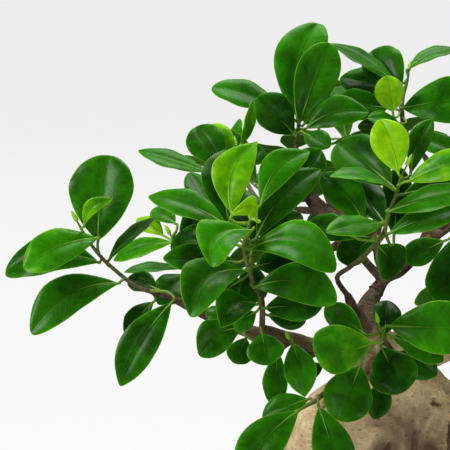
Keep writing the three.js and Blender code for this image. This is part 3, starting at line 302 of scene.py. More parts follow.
# Shoots filled by a rule, on the sides that the picture doesn't show. Here a limb is a list
# of [x, y, z, radius]. Bearing is from +X towards +Y, climb is above level, both in degrees.
SPRAYS = {
    "shoot_right_front": {
        "limb": [[44, -14, 222, 2.6], [58, -32, 226, 1.9], [68, -44, 231, 1.4]],
        "bearing": -50, "climb": 18, "length": 50, "leaves": 7, "seed": 11,
    },
    "shoot_right_low": {
        "limb": [[44, -14, 222, 2.6], [62, -18, 208, 1.9], [76, -22, 198, 1.4]],
        "bearing": -15, "climb": -4, "length": 46, "leaves": 7, "seed": 12,
    },
    "shoot_right_end": {
        "limb": [[86, -16, 239, 2.7], [102, -14, 244, 2.2], [112, -12, 247, 1.5]],
        "bearing": 0, "climb": 12, "length": 54, "leaves": 8, "seed": 13,
    },
    "shoot_right_upper": {
        "limb": [[66, -17, 232, 3], [76, -18, 252, 2.1], [82, -18, 268, 1.5]],
        "bearing": -12, "climb": 55, "length": 52, "leaves": 8, "seed": 14,
    },
    "shoot_right_inner": {
        "limb": [[44, -14, 222, 2.4], [50, -26, 244, 1.9], [54, -34, 260, 1.4]],
        "bearing": -55, "climb": 50, "length": 48, "leaves": 7, "seed": 15,
    },
    "shoot_right_back": {
        "limb": [[74, 50, 248, 2.7], [90, 57, 254, 2], [100, 61, 257, 1.4]],
        "bearing": 28, "climb": 14, "length": 52, "leaves": 7, "seed": 16,
    },
    "shoot_right_crown": {
        "limb": [[56, 44, 240, 3], [62, 44, 260, 2.1], [66, 44, 276, 1.5]],
        "bearing": 30, "climb": 62, "length": 52, "leaves": 8, "seed": 17,
    },
    "shoot_right_under": {
        "limb": [[56, 44, 240, 2.6], [70, 52, 224, 1.9], [80, 58, 214, 1.4]],
        "bearing": 40, "climb": -4, "length": 46, "leaves": 6, "seed": 18,
    },
    "shoot_back_end": {
        "limb": [[-3, 76, 261, 2.6], [-6, 90, 266, 2], [-8, 99, 269, 1.4]],
        "bearing": 103, "climb": 6, "length": 46, "leaves": 7, "seed": 156,
    },
    "shoot_back_upper": {
        "limb": [[-24, 8, 256, 2.4], [-30, 26, 268, 1.9], [-36, 44, 280, 1.4]],
        "bearing": 82, "climb": 31, "length": 40, "leaves": 6, "seed": 14,
    },
    "shoot_back_low": {
        "limb": [[32, 28, 222, 2.8], [42, 46, 217, 1.9], [48, 60, 212, 1.4]],
        "bearing": 62, "climb": -24, "length": 46, "leaves": 6, "seed": 816,
    },
    "shoot_back_left": {
        "limb": [[-5, 56, 256, 2.8], [-24, 70, 254, 2.1], [-42, 78, 254, 1.4]],
        "bearing": 134, "climb": 4, "length": 44, "leaves": 7, "seed": 415,
    },
    "shoot_back_under": {
        "limb": [[-6, 40, 251, 2.8], [-20, 52, 243, 1.9], [-34, 60, 234, 1.4]],
        "bearing": 138, "climb": 4, "length": 42, "leaves": 6, "seed": 991,
    },
    "shoot_top_end": {
        "limb": [[40, 6, 272, 2.6], [52, 4, 286, 2], [60, 2, 298, 1.4]],
        "bearing": -10, "climb": 66, "length": 44, "leaves": 7, "seed": 24,
    },
}

# The rule of those shoots, with angles in degrees. Spreads are the whole range of a draw.
SPRAY_STEPS = 5
SPRAY_BEND = 25
SPRAY_TIP_RADIUS = 0.4
FIRST_LEAF_AT, LAST_LEAF_AT = 0.2, 0.98
TURN_PER_LEAF, TURN_SPREAD = 137.5, 36
TURNS_TRIED = (0, 25, -25, 50, -50, 75, -75)
PITCH_AT_FOOT, PITCH_AT_TIP, PITCH_SPREAD = 78, 32, 16
STALK_LENGTH, DROOP = 7, 0.12
LONGEST_LEAF, SHORTEST_LEAF, LENGTH_SPREAD = 38, 27, 0.2
SLENDERNESS, WIDTH_SPREAD = 0.5, 0.16
SKYWARD, ROLL_SPREAD = 0.9, 30
ARCH_LEAST, ARCH_SPREAD, SPRAY_FOLD, SPRAY_TAPER = 0.04, 0.05, 0.14, 0.3
YOUTH_SPREAD = 0.5
SAME_PLACE = 0.3

# Swollen roots, from the mass under the limbs down into the soil: [column, row, depth, radius].
SWOLLEN_ROOTS = [
    [
        [402, 376, -6, 12], [406, 396, -10, 21], [408, 430, -16, 27], [410, 475, -20, 25],
        [410, 515, -21, 13],
    ],
    [
        [402, 380, -4, 12], [391, 400, 0, 19], [371, 424, 3, 27], [347, 458, 4, 28],
        [343, 512, 1, 24], [338, 570, -2, 18], [331, 640, -5, 11], [324, 714, -11, 6],
    ],
    [
        [414, 380, -10, 11], [428, 406, -19, 16], [462, 438, -28, 20.5], [481, 495, -33, 21],
        [485, 550, -35, 18], [487, 620, -38, 12], [496, 684, -44, 7],
    ],
    [
        [408, 462, -5, 13], [418, 500, 8, 16], [424, 560, 12, 14], [430, 640, 13, 9],
        [436, 732, 10, 5],
    ],
    [[376, 440, -25, 18], [364, 500, -39, 18], [350, 575, -57, 13], [340, 660, -68, 7]],
    [[430, 450, -34, 16], [438, 505, -51, 17], [448, 580, -65, 12], [455, 656, -74, 7]],
]

# Limbs on the far and right-hand sides: [x, y, z, radius].
HIDDEN_LIMBS = [
    [
        [0, 4, 196, 9], [22, -6, 206, 5.6], [44, -14, 222, 4.2], [66, -17, 232, 3.4],
        [86, -16, 239, 2.8],
    ],
    [[-6, 8, 198, 6.5], [12, 16, 205, 4.8], [32, 28, 222, 4], [56, 44, 240, 3.3], [74, 50, 248, 2.8]],
    [[-7, 8, 234, 3.4], [-8, 24, 243, 3.1], [-6, 46, 254, 2.9], [-3, 76, 261, 2.6]],
    [[3, 12, 239, 3.1], [22, 13, 257, 2.9], [40, 6, 272, 2.7]],
]

# Wood at least this thick is fused into the trunk's skin; thinner wood is kept as tubes, and
# the two overlap between these radii.
FUSED_RADIUS, TUBE_RADIUS = 3.6, 4.6
FUSED_SIDES, TUBE_SIDES, TWIG_SIDES = 24, 16, 8

# The rule by which seeded draws go on.
DRAW_FACTOR, DRAW_RANGE = 16807, 2147483647

# A bud, a leaf's stalk, and the keel under its midrib at shares of its length, in millimetres.
BUD_LENGTH = 5
BUD_RADII = (0.85, 1.0, 0.75, 0.15)
STALK_RADII = (0.9, 0.6, 0.56, 0.62)
KEEL_SHARES = (0.16, 0.4, 0.65, 0.9)
KEEL_RADII = (0.5, 0.34, 0.22, 0.12)
KEEL_DEPTH = 0.35
TWIG_SLIMMING = 0.88
ELBOW_SHARE = 0.45

# Green is 0 for brown bark and 1 for a green stalk. Girth is 0 for a twig and 1 for the trunk.
STALK_GREEN, STALK_GREEN_STEP = 0.75, 0.08
STEM_GREEN, STEM_GREEN_POWER = 0.8, 1.5
LEAST_STALK_YOUTH, STEM_YOUTH, BUD_YOUTH = 0.25, 0.3, 0.9
TINT_RANGE = (-0.05, 0.07)
GIRTHLESS_RADIUS, GIRTH_RANGE = 1, 3.5

# Corners of the soil nearer to each other than this, in metres, are welded.
SAME_CORNER = 1e-5

# The pot's sizes, in millimetres, as in its solid.
POT_HEIGHT = 74
POT_RIM_RADIUS = 79
POT_LIP = 8.5
POT_LIP_HEIGHT = 11
POT_FOOT_RADIUS = 55
POT_WALL = 6
POT_FLOOR = 8
BELLY_STEPS = 16
BELLY_CURVE = 1.8
BELLY_TOP = POT_HEIGHT - POT_LIP_HEIGHT - 2
BELLY_TOP_RADIUS = POT_RIM_RADIUS - 4
FOOT_ROUNDING, LIP_UNDER_ROUNDING, LIP_ROUNDING = 1, 1.2, 2.2
DRAIN_RADIUS = 6
DRAIN_OFFSET = 28
DRAIN_GROOVE_DEPTH = 2.5
DRAIN_SIDES = 32
SHARP_DEGREES = 40

# Each lamp's share of the key light's power, and its size, place and aim in metres.
CROWN, TRUNK = (-0.02, 0, 0.22), (0, 0, 0.13)
LAMPS = {
    "key": (1, (0.5, 0.7), (-1.1, -0.7, 1.0), CROWN),
    "fill": (0.12, (1.0, 1.0), (1.2, -1.1, 0.8), CROWN),
    "top": (0.8, (0.9, 0.6), (0.1, 0.25, 1.4), CROWN),
    "back": (0.7, (3, 2), (0, 1.6, 1.3), CROWN),
    "low": (0.18, (0.6, 0.4), (0.35, -1.4, 0.4), TRUNK),
}


def colour(name, description, default):
    return bpy.props.FloatVectorProperty(
        name=name, description=description, subtype="COLOR", size=3, min=0, max=1,
        default=default)


def length(name, description, default):
    return bpy.props.FloatProperty(
        name=name, description=description, subtype="DISTANCE", unit="LENGTH", min=0,
        default=default, precision=5)


def share(name, description, default):
    return bpy.props.FloatProperty(
        name=name, description=description, subtype="FACTOR", min=0, max=1, default=default)


def count(name, description, default):
    return bpy.props.IntProperty(name=name, description=description, min=1, default=default)


class FicusLeafSettings(bpy.types.PropertyGroup):
    old: colour("Old leaf", "Colour of an old leaf's upper face", (0.006, 0.046, 0.0007))
    grown: colour("Grown leaf", "Colour of a fresh grown leaf's upper face", (0.038, 0.232, 0.001))
    olive: colour("Olive blotch", "Colour of the faint blotches", (0.026, 0.075, 0.004))
    young: colour("Young leaf", "Colour of a new leaf's upper face", (0.27, 0.56, 0.003))
    under: colour("Underside", "Colour of a grown leaf's lower face", (0.04, 0.13, 0.015))
    # This colour is painted along each leaf's edge as a painted glow of a lit, translucent edge over
    # a thin pale margin, and it also tints the veins and the midrib.
    pale_rim_and_glow: colour("Rim", "Colour of the thin pale edge of a leaf", (0.34, 0.56, 0.07))
    twig: colour("Green twig", "Colour of the newest part of a twig", (0.07, 0.15, 0.012))
    thickness: length("Thickness", "How thick a leaf is at its middle", 0.0007)
    # The width of the band where the painted edge glow lies over the thin pale margin.
    pale_rim_and_glow_width: length("Rim width", "Width of the pale edge", 0.0004)
    vein_spacing: length("Vein spacing", "Distance between side veins", 0.0028)
    wave: share("Edge wave", "Height of the waves along the edge, in half widths", 0.05)
    bulge: share("Bulge", "How far each half of a leaf is domed, in half widths", 0.16)
    rows: count("Rows", "Faces along a leaf", 20)
    columns: count("Columns", "Faces across a leaf", 14)


class FicusBarkSettings(bpy.types.PropertyGroup):
    pale: colour("Pale bark", "Main colour of the swollen roots", (0.97, 0.74, 0.44))
    # The dark bark colour gives the bark's real dark patches and grain, and also the painted shade in
    # its hollows and creases.
    dark: colour("Dark bark", "Colour of the patches and creases", (0.09, 0.04, 0.016))
    limb: colour("Limb bark", "Colour of the limbs", (0.05, 0.028, 0.016))
    relief: length("Relief", "Height of the lumps and creases", 0.0019)
    voxel: length("Skin cell", "Cell size with which thick wood is fused", 0.0014)


class FicusPotSettings(bpy.types.PropertyGroup):
    glaze: colour("Glaze", "Main colour of the glaze", (0.035, 0.062, 0.072))
    pooled: colour("Pooled glaze", "Colour where the glaze lies thick", (0.012, 0.026, 0.034))
    clay: colour("Clay", "Colour of the unglazed foot", (0.27, 0.14, 0.075))
    sides: count("Sides", "Faces around the pot", 128)


class FicusSoilSettings(bpy.types.PropertyGroup):
    earth: colour("Earth", "Colour of damp soil", (0.035, 0.02, 0.011))
    grit: colour("Grit", "Colour of the paler grains", (0.28, 0.2, 0.13))
    grain: length("Grain", "Width of a usual grain", 0.003)
    number: bpy.props.FloatProperty(
        name="Density", description="Grains on a square metre", min=0, default=150000)
    seed: count("Seed", "Seed of the scatter", 7)


class FicusStageSettings(bpy.types.PropertyGroup):
    floor: colour("Floor", "Colour of the floor", (0.06, 0.06, 0.06))
    glow: colour("Floor glow", "Light that the floor gives off", (0.715, 0.715, 0.715))
    floor_reach: length("Floor reach", "Half the side of the floor", 30)
    sky: colour("Sky", "Colour of the light from all round", (1, 1, 1))
    sky_strength: bpy.props.FloatProperty(
        name="Sky strength", description="Strength of the light from all round", default=0.03)
    key_watts: bpy.props.FloatProperty(
        name="Key light", description="Power of the large light at the left",
        subtype="POWER", unit="POWER", default=17)


SETTINGS = {
    "ficus_leaf": FicusLeafSettings,
    "ficus_bark": FicusBarkSettings,
    "ficus_pot": FicusPotSettings,
    "ficus_soil": FicusSoilSettings,
    "ficus_stage": FicusStageSettings,
}


# Nodes, and sums of their outputs.

def sign(operation, swapped=False):
    """A method of Term that adds the node for an operation, with its two values swapped or not."""

    def method(term, other):
        return reckon(operation, *((other, term) if swapped else (term, other)))

    return method


class Term:
    """A node's output that can be reckoned with: each sum adds a math node to its tree."""

    def __init__(self, socket):
        self.socket = socket
        self.tree = socket.id_data

    __add__ = __radd__ = sign("ADD")
    __sub__ = sign("SUBTRACT")
    __rsub__ = sign("SUBTRACT", swapped=True)
    __mul__ = __rmul__ = sign("MULTIPLY")
    __truediv__ = sign("DIVIDE")
    __rtruediv__ = sign("DIVIDE", swapped=True)
    __pow__ = sign("POWER")


def is_vector(value):
    if isinstance(value, Term):
        return value.socket.type in ("VECTOR", "RGBA")
    return isinstance(value, tuple)


def feed(value, socket):
    """Links a term to an input, or sets a plain value there."""
    if isinstance(value, Term):
        value.tree.links.new(value.socket, socket)
    elif socket.type == "RGBA":
        socket.default_value = (*value, 1)
    else:
        socket.default_value = value


def feed_inputs(made, inputs):
    """Feeds a node's inputs, given by name with underscores for spaces."""
    for name, value in inputs.items():
        feed(value, made.inputs[name.replace("_", " ")])


def in_use(made):
    return Term(next(socket for socket in made.outputs if socket.enabled))


def add_node(tree, kind, settings=None, take=None, **inputs):
    """A new node's output: the one in use, or the one to take by its name."""
    made = tree.nodes.new(kind)
    for name, value in (settings or {}).items():
        setattr(made, name, value)
    feed_inputs(made, inputs)
    return Term(made.outputs[take]) if take else in_use(made)


def beside(term, name):
    """Another output of a term's node."""
    return Term(term.socket.node.outputs[name])


def reckon(operation, *values):
    """The result of a math node, or of a vector math node where a value is a vector."""
    tree = next(value.tree for value in values if isinstance(value, Term))
    vectors = [is_vector(value) for value in values]
    if operation == "MULTIPLY" and any(vectors) and not all(vectors):
        vector, number = values if vectors[0] else values[::-1]
        return add_node(
            tree, "ShaderNodeVectorMath", {"operation": "SCALE"}, Vector=vector, Scale=number)
    made = tree.nodes.new("ShaderNodeVectorMath" if any(vectors) else "ShaderNodeMath")
    made.operation = operation
    for value, socket in zip(values, made.inputs):
        feed(value, socket)
    return in_use(made)


def ranged(value, way, low, high, first, last):
    return add_node(
        value.tree, "ShaderNodeMapRange", {"interpolation_type": way}, Value=value,
        From_Min=low, From_Max=high, To_Min=first, To_Max=last)


def rise(value, low, high):
    """0 below low, 1 above high and smooth between them. high may be the lower one."""
    if not isinstance(low, Term) and low > high:
        return ranged(value, "SMOOTHSTEP", high, low, 1, 0)
    return ranged(value, "SMOOTHSTEP", low, high, 0, 1)


def ramp(value, low, high):
    """0 below low, 1 above high and straight between them."""
    return ranged(value, "LINEAR", low, high, 0, 1)


def mixed(amount, first, second):
    """first where amount is 0, second where it is 1, both colours."""
    made = amount.tree.nodes.new("ShaderNodeMix")
    made.data_type = "RGBA"
    feed(amount, made.inputs["Factor"])
    colours = [socket for socket in made.inputs if socket.type == "RGBA"]
    for value, socket in zip((first, second), colours):
        feed(value, socket)
    return in_use(made)


def noise(place, scale, detail=2, distortion=0):
    return add_node(
        place.tree, "ShaderNodeTexNoise", Vector=place, Scale=scale, Detail=detail,
        Distortion=distortion)


def height_of(place):
    return add_node(place.tree, "ShaderNodeSeparateXYZ", take="Z", Vector=place)


def group_tree(name, kind, outputs, inputs):
    """A node group with named sockets, and then its inputs as terms."""
    tree = bpy.data.node_groups.new(name, kind)
    for way, sockets in (("OUTPUT", outputs), ("INPUT", inputs)):
        for title, socket in sockets.items():
            tree.interface.new_socket(
                title.replace("_", " "), in_out=way, socket_type="NodeSocket" + socket)
    entry = tree.nodes.new("NodeGroupInput")
    return tree, *[Term(socket) for socket in entry.outputs if socket.name]


def send_out(tree, term):
    feed(term, tree.nodes.new("NodeGroupOutput").inputs[0])


# Materials. Sizes in them are in metres.

# Distances from the midrib and from the edge over which the side veins grow clear, how far they
# run towards the tip for each step outwards, and half the width of the midrib: at the base, how
# much less at the tip, and where it is highest.
VEIN_FADE_AT_MIDRIB = (0.0002, 0.0015)
VEIN_FADE_AT_EDGE = (0.0006, 0.003)
VEIN_SLANT = 0.62
MIDRIB_HALF, MIDRIB_NARROWING, MIDRIB_CREST = 0.0005, 0.00033, 0.00005
PALE_EDGE_WIDTH = 0.004

# Heights over which the bark turns to limb bark, the glaze begins and its wear at the lip begins.
LIMB_HEIGHTS = (0.185, 0.23)
GLAZE_HEIGHTS = (0.006, 0.0068)
WORN_HEIGHTS = (0.0705, 0.0738)


def mask(name, build, place, **values):
    """A mask from 0 to 1, from a shader node group that build makes once."""
    group = bpy.data.node_groups.get(name)
    if group is None:
        numbers = {title: "Float" for title in values}
        group, *terms = group_tree(
            name, "ShaderNodeTree", {"Mask": "Float"}, {"Place": "Vector", **numbers})
        send_out(group, build(*terms))
    return add_node(place.tree, "ShaderNodeGroup", {"node_tree": group}, Place=place, **values)


def mottle(place, size, softness):
    """Soft patches of a given size with finer ones inside them."""

    def build(place, size, softness):
        scale = 1 / size
        coarse = noise(place, scale, detail=3, distortion=0.6)
        fine = noise(place, scale * 5)
        blended = coarse * 0.75 + fine * 0.25
        return rise(blended, 0.5 - softness, 0.5 + softness)

    return mask("Mottle", build, place, Size=size, Softness=softness)


def speckle(place, size, amount):
    """Scattered round specks of a given size. Amount is the share of places that have one."""

    def build(place, size, amount):
        near = add_node(
            place.tree, "ShaderNodeTexVoronoi", {"feature": "F1"}, Vector=place, Scale=1 / size)
        drawn = add_node(place.tree, "ShaderNodeSeparateColor", Color=beside(near, "Color"))
        return rise(near, 0.42, 0.2) * reckon("LESS_THAN", drawn, amount)

    return mask("Speckle", build, place, Size=size, Amount=amount)


def shader_of(material):
    return next(node for node in material.node_tree.nodes if node.type == "BSDF_PRINCIPLED")


def new_material(name):
    """A material, its tree and the place on the object."""
    material = bpy.data.materials.new(name)
    material.use_nodes = True
    tree = material.node_tree
    return material, tree, add_node(tree, "ShaderNodeTexCoord", take="Object")


def finish_material(material, base, roughness, height, depth, **others):
    """Feeds a material's shader. The surface rises by height times depth."""
    bump = add_node(material.node_tree, "ShaderNodeBump", Height=height, Distance=depth)
    feed_inputs(shader_of(material), {
        "Base Color": base, "Roughness": roughness, "Normal": bump, **others})
    return material


def attribute(tree, name):
    return add_node(tree, "ShaderNodeAttribute", {"attribute_name": name}, take="Fac")


def leaf_material(settings):
    material, tree, place = new_material("leaf_blade")
    along, across, edge, run = [
        attribute(tree, "blade_" + name) for name in ("along", "across", "edge", "run")]
    youth, under = attribute(tree, "youth"), attribute(tree, "underside")
    off = reckon("ABSOLUTE", across)
    # Side veins leave the midrib at a slant, alternately on the two halves, and fade outwards.
    half_step = reckon("GREATER_THAN", across, 0) * 0.5
    slant = (run - off * VEIN_SLANT) / settings.vein_spacing + half_step
    ridge = reckon("PINGPONG", slant + noise(place, scale=120) * 0.9, 0.5) * 2
    veins = rise(ridge, 0.22, 0) * rise(edge, *VEIN_FADE_AT_EDGE) * rise(off, *VEIN_FADE_AT_MIDRIB)
    midrib = rise(off, MIDRIB_HALF - along * MIDRIB_NARROWING, MIDRIB_CREST)
    # Painted light: a thin band along the edge is painted pale as the glow of a lit, translucent
    # edge, over a thin pale margin.
    pale_rim_and_glow = rise(edge, settings.pale_rim_and_glow_width, settings.pale_rim_and_glow_width * 0.35)
    patches = mottle(place, size=0.014, softness=0.2)
    cells = mottle(place, size=0.0012, softness=0.25)
    olive = mottle(place, size=0.008, softness=0.12)
    pale_edge = rise(edge, PALE_EDGE_WIDTH, 0)
    age = youth + attribute(tree, "tint") + (patches - 0.5) * 0.3 + pale_edge * 0.1
    upper = mixed(ramp(age, 0, 0.5), settings.old, settings.grown)
    upper = mixed(ramp(age, 0.5, 1), upper, settings.young)
    upper = mixed(olive * 0.3, upper, settings.olive)
    upper = mixed(veins * (0.012 + youth * 0.06), upper, settings.pale_rim_and_glow)
    lower = mixed(ramp(age, 0.2, 1), settings.under, settings.young)
    lower = mixed(veins * 0.2, lower, settings.pale_rim_and_glow)
    base = mixed(under, upper, lower)
    base = mixed(cells * 0.15, base, base * 0.5)
    base = mixed(midrib * (0.02 + youth * 0.24 + under * 0.3), base, settings.pale_rim_and_glow)
    # The painted edge glow, stronger on young leaves.
    base = mixed(pale_rim_and_glow * (0.14 + youth * 0.5), base, settings.pale_rim_and_glow)
    groove = (1 - under * 2) * (midrib * -0.7 - veins * 0.12)
    return finish_material(
        material, base, roughness=0.34 + under * 0.25 + patches * 0.1,
        height=groove + cells * 0.08 + noise(place, scale=110) * 2, depth=0.00035,
        Coat_Weight=0.17 - under * 0.14, Coat_Roughness=0.25, Specular_IOR_Level=0.05,
        Subsurface_Weight=0.2, Subsurface_Radius=(0.5, 1, 0.1), Subsurface_Scale=0.002)


def bark_looks(settings, place):
    """The bark's colour and height: patches, painted hollow shade, flecks and rings, darker on the
    limbs.
    """
    girth, hollow_shade = attribute(place.tree, "girth"), attribute(place.tree, "hollow_shade")
    patches = mottle(place, size=0.02, softness=0.1)
    blots = mottle(place, size=0.0065, softness=0.14)
    ringed = place * (1, 1, 3.2)
    flecks = speckle(ringed, size=0.0035, amount=0.35)
    grain = mottle(ringed, size=0.0016, softness=0.25)
    limb = reckon("MAXIMUM", 1 - girth, rise(height_of(place), *LIMB_HEIGHTS))
    body = mixed(patches * 0.5, settings.pale, settings.pale * 0.6)
    # Painted shade: the sunken hollows and creases of the relief are painted dark.
    body = mixed(hollow_shade * 0.9, body, settings.dark)
    body = mixed(blots * 0.3, body, settings.dark)
    body = mixed(limb, body, mixed(blots * 0.12, settings.limb, settings.pale))
    body = mixed(grain * 0.3, body, settings.dark)
    body = mixed(flecks * 0.5, body, body * 0.4)
    return body, blots * -0.6 + grain * -0.4 - flecks * 0.3


def bark_material(settings):
    material, _, place = new_material("ficus_bark")
    base, height = bark_looks(settings, place)
    return finish_material(material, base, roughness=0.78, height=height, depth=0.0009)


def twig_material(leaf, bark):
    material, tree, place = new_material("ficus_twig")
    base, height = bark_looks(bark, place)
    green = attribute(tree, "green")
    fresh = mixed(attribute(tree, "youth"), leaf.twig, leaf.young)
    return finish_material(
        material, mixed(green, base, fresh), roughness=0.75 - green * 0.35, height=height,
        depth=0.0003)


def pot_material(settings):
    material, _, place = new_material("ficus_glaze")
    height = height_of(place)
    pools = mottle(place, size=0.02, softness=0.2)
    specks = speckle(place, size=0.0016, amount=0.12)
    glazed = rise(height + noise(place, scale=60) * 0.003, *GLAZE_HEIGHTS)
    worn = rise(height, *WORN_HEIGHTS)
    base = mixed(pools * 0.6, settings.glaze, settings.pooled)
    base = mixed(worn * 0.35, base, settings.clay)
    base = mixed(specks * 0.5, base, settings.pooled)
    base = mixed(1 - glazed, base, settings.clay)
    relief = pools * 0.5 + noise(place, scale=900, detail=1) * (1 - glazed) * 0.6
    return finish_material(
        material, base, roughness=0.75 - glazed * 0.57 + pools * 0.05, height=relief,
        depth=0.0004, Coat_Weight=glazed * 0.6, Coat_Roughness=0.06)


def soil_material(settings):
    material, tree, place = new_material("ficus_soil")
    shade = attribute(tree, "shade")
    fine = mottle(place, size=0.0012, softness=0.3)
    base = mixed(shade, settings.earth, settings.grit)
    base = mixed(fine * 0.6, base, base * 0.45)
    return finish_material(
        material, base, roughness=0.95 - shade * 0.1, height=fine, depth=0.0005)


def plastic_material():
    material, _, place = new_material("screen_plastic")
    dust = mottle(place, size=0.004, softness=0.25)
    base = mixed(dust * 0.5, (0.012, 0.012, 0.013), (0.09, 0.07, 0.05))
    return finish_material(
        material, base, roughness=0.45 + dust * 0.35, height=dust, depth=0.0002)


# Places, leaves and paths, in millimetres.

def pixel_size(depth):
    return (1 - depth / VIEW_DISTANCE) * VIEW_PIXEL_MM


def pictured(column, row, depth):
    """The point at a picture column and row, at a depth towards the eye."""
    return (VIEW_EYE + VIEW_FORWARD * (VIEW_DISTANCE - depth)
            + VIEW_RIGHT * ((column - VIEW_PIXELS / 2) * pixel_size(depth))
            + VIEW_UP * ((VIEW_PIXELS / 2 - row) * pixel_size(depth)))


def pictured_path(points):
    return [(pictured(*point[:3]), point[3]) for point in points]


def plain_path(points):
    return [(Vector(point[:3]), point[3]) for point in points]


def place_on(path, place):
    whole = min(int(place), len(path) - 2)
    return path[whole][0].lerp(path[whole + 1][0], place - whole)


def blade_frame(base, tip, facing, roll):
    """The directions of a blade: along it, out of its upper face, and to its side."""
    along = (tip - base).normalized()
    towards = (facing - along * facing.dot(along)).normalized()
    side = along.cross(towards)
    angle = math.radians(roll)
    face = towards * math.cos(angle) + side * math.sin(angle)
    across = side * math.cos(angle) - towards * math.sin(angle)
    return along, face, across


def pictured_leaf(stem, row):
    form = dict(zip(("width", "roll", "arch", "fold", "sweep", "taper", "youth"), row[7:]))
    form["width"] *= pixel_size(row[3])
    return {
        "root": place_on(stem, row[0]), "base": pictured(*row[1:4]), "tip": pictured(*row[4:7]),
        "facing": -VIEW_FORWARD, **form,
    }


def random_draws(seed):
    """Seeded draws from 0 to 1, the same as in the part's own rule."""
    while True:
        seed = (seed * DRAW_FACTOR) % DRAW_RANGE
        yield seed / DRAW_RANGE


def lerp(first, second, amount):
    return first + (second - first) * amount


def direction(bearing, climb):
    turn, lift = math.radians(bearing), math.radians(climb)
    return Vector((
        math.cos(turn) * math.cos(lift), math.sin(turn) * math.cos(lift), math.sin(lift)))


def spray_stem(limb, spray):
    at, radius = limb[-1]
    stem = [(at, radius)]
    for step in range(1, SPRAY_STEPS + 1):
        part = step / SPRAY_STEPS
        climb = spray["climb"] + SPRAY_BEND * part
        at = at + direction(spray["bearing"], climb) * (spray["length"] / SPRAY_STEPS)
        stem.append((at, lerp(radius, SPRAY_TIP_RADIUS, part)))
    return stem


def spray_leaf(stem, part, draws, turned, index):
    turn, pitch_draw, length_draw, width_draw, roll_draw, arch_draw = draws
    place = (len(stem) - 1) * lerp(FIRST_LEAF_AT, LAST_LEAF_AT, part)
    whole = min(int(place), len(stem) - 2)
    root = place_on(stem, place)
    along = (stem[whole + 1][0] - stem[whole][0]).normalized()
    level = Vector((0, 0, 1)).cross(along).normalized()
    angle = math.radians(TURN_PER_LEAF * index + TURN_SPREAD * turn + turned)
    outwards = level * math.cos(angle) + along.cross(level) * math.sin(angle)
    pitch = math.radians(
        lerp(PITCH_AT_FOOT, PITCH_AT_TIP, part) + PITCH_SPREAD * (pitch_draw - 0.5))
    heading = along * math.cos(pitch) + outwards * math.sin(pitch)
    base = root + heading * STALK_LENGTH
    heading.z -= DROOP
    heading.normalize()
    size = lerp(LONGEST_LEAF, SHORTEST_LEAF, part ** 2) * (
        1 + LENGTH_SPREAD * (length_draw - 0.5))
    return {
        "root": root, "base": base, "tip": base + heading * size,
        "facing": (along + Vector((0, 0, SKYWARD))).normalized(),
        "width": size * SLENDERNESS * (1 + WIDTH_SPREAD * (width_draw - 0.5)),
        "roll": ROLL_SPREAD * (roll_draw - 0.5), "arch": ARCH_LEAST + ARCH_SPREAD * arch_draw,
        "fold": SPRAY_FOLD, "sweep": 0, "taper": SPRAY_TAPER, "youth": YOUTH_SPREAD * part ** 3,
    }


def spray_leaves(name, stem, spray):
    """The spray's leaves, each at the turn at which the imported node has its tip."""
    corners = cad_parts[name].data.vertices
    near = KDTree(len(corners))
    for index, corner in enumerate(corners):
        near.insert(corner.co, index)
    near.balance()
    draw = random_draws(spray["seed"])
    leaves = []
    for index in range(spray["leaves"]):
        draws = [next(draw) for _ in range(6)]
        for turned in TURNS_TRIED:
            leaf = spray_leaf(stem, index / (spray["leaves"] - 1), draws, turned, index)
            if near.find(leaf["tip"] * MM)[2] < SAME_PLACE * MM:
                leaves.append(leaf)
                break
    return leaves


def leafy_shoots():
    """Each shoot's name, stem and leaves."""
    for name, shoot in PICTURED_SHOOTS.items():
        stem = [pictured_path(shoot["limb"])[-1], *pictured_path(shoot["stem"])]
        yield name, stem, [pictured_leaf(stem, row) for row in shoot["leaves"]]
    for name, spray in SPRAYS.items():
        stem = spray_stem(plain_path(spray["limb"]), spray)
        yield name, stem, spray_leaves(name, stem, spray)


# Carriers: meshes of points and lines that the node trees turn into leaves and wood.

class Carrier:
    """Points and lines with values at their points, which the node trees read by name."""

    def __init__(self):
        self.places = []
        self.edges = []
        self.values = {}

    def point(self, place, **values):
        for name, value in values.items():
            self.values.setdefault(name, {})[len(self.places)] = value
        self.places.append(place * MM)

    def path(self, points, **values):
        """A line through points, each a place with its own values."""
        start = len(self.places)
        for place, own in points:
            self.point(place, **own, **values)
        self.edges += [(i, i + 1) for i in range(start, len(self.places) - 1)]

    def mesh(self, name):
        made = bpy.data.meshes.new(name)
        made.from_pydata(self.places, self.edges, [])
        for title, column in self.values.items():
            vector = isinstance(next(iter(column.values())), Vector)
            kind, field = ("FLOAT_VECTOR", "vector") if vector else ("FLOAT", "value")
            data = made.attributes.new(title, kind, "POINT").data
            for index, value in column.items():
                setattr(data[index], field, value)
        return made


def bow(amount):
    return 4 * amount * (1 - amount)


def blade_outline(taper):
    shape = {name: lerp(BLUNT_LEAF[name], TAPERED_LEAF[name], taper) for name in BLUNT_LEAF}
    return {**shape, "widest": math.log(0.5) / math.log(shape["widest"])}


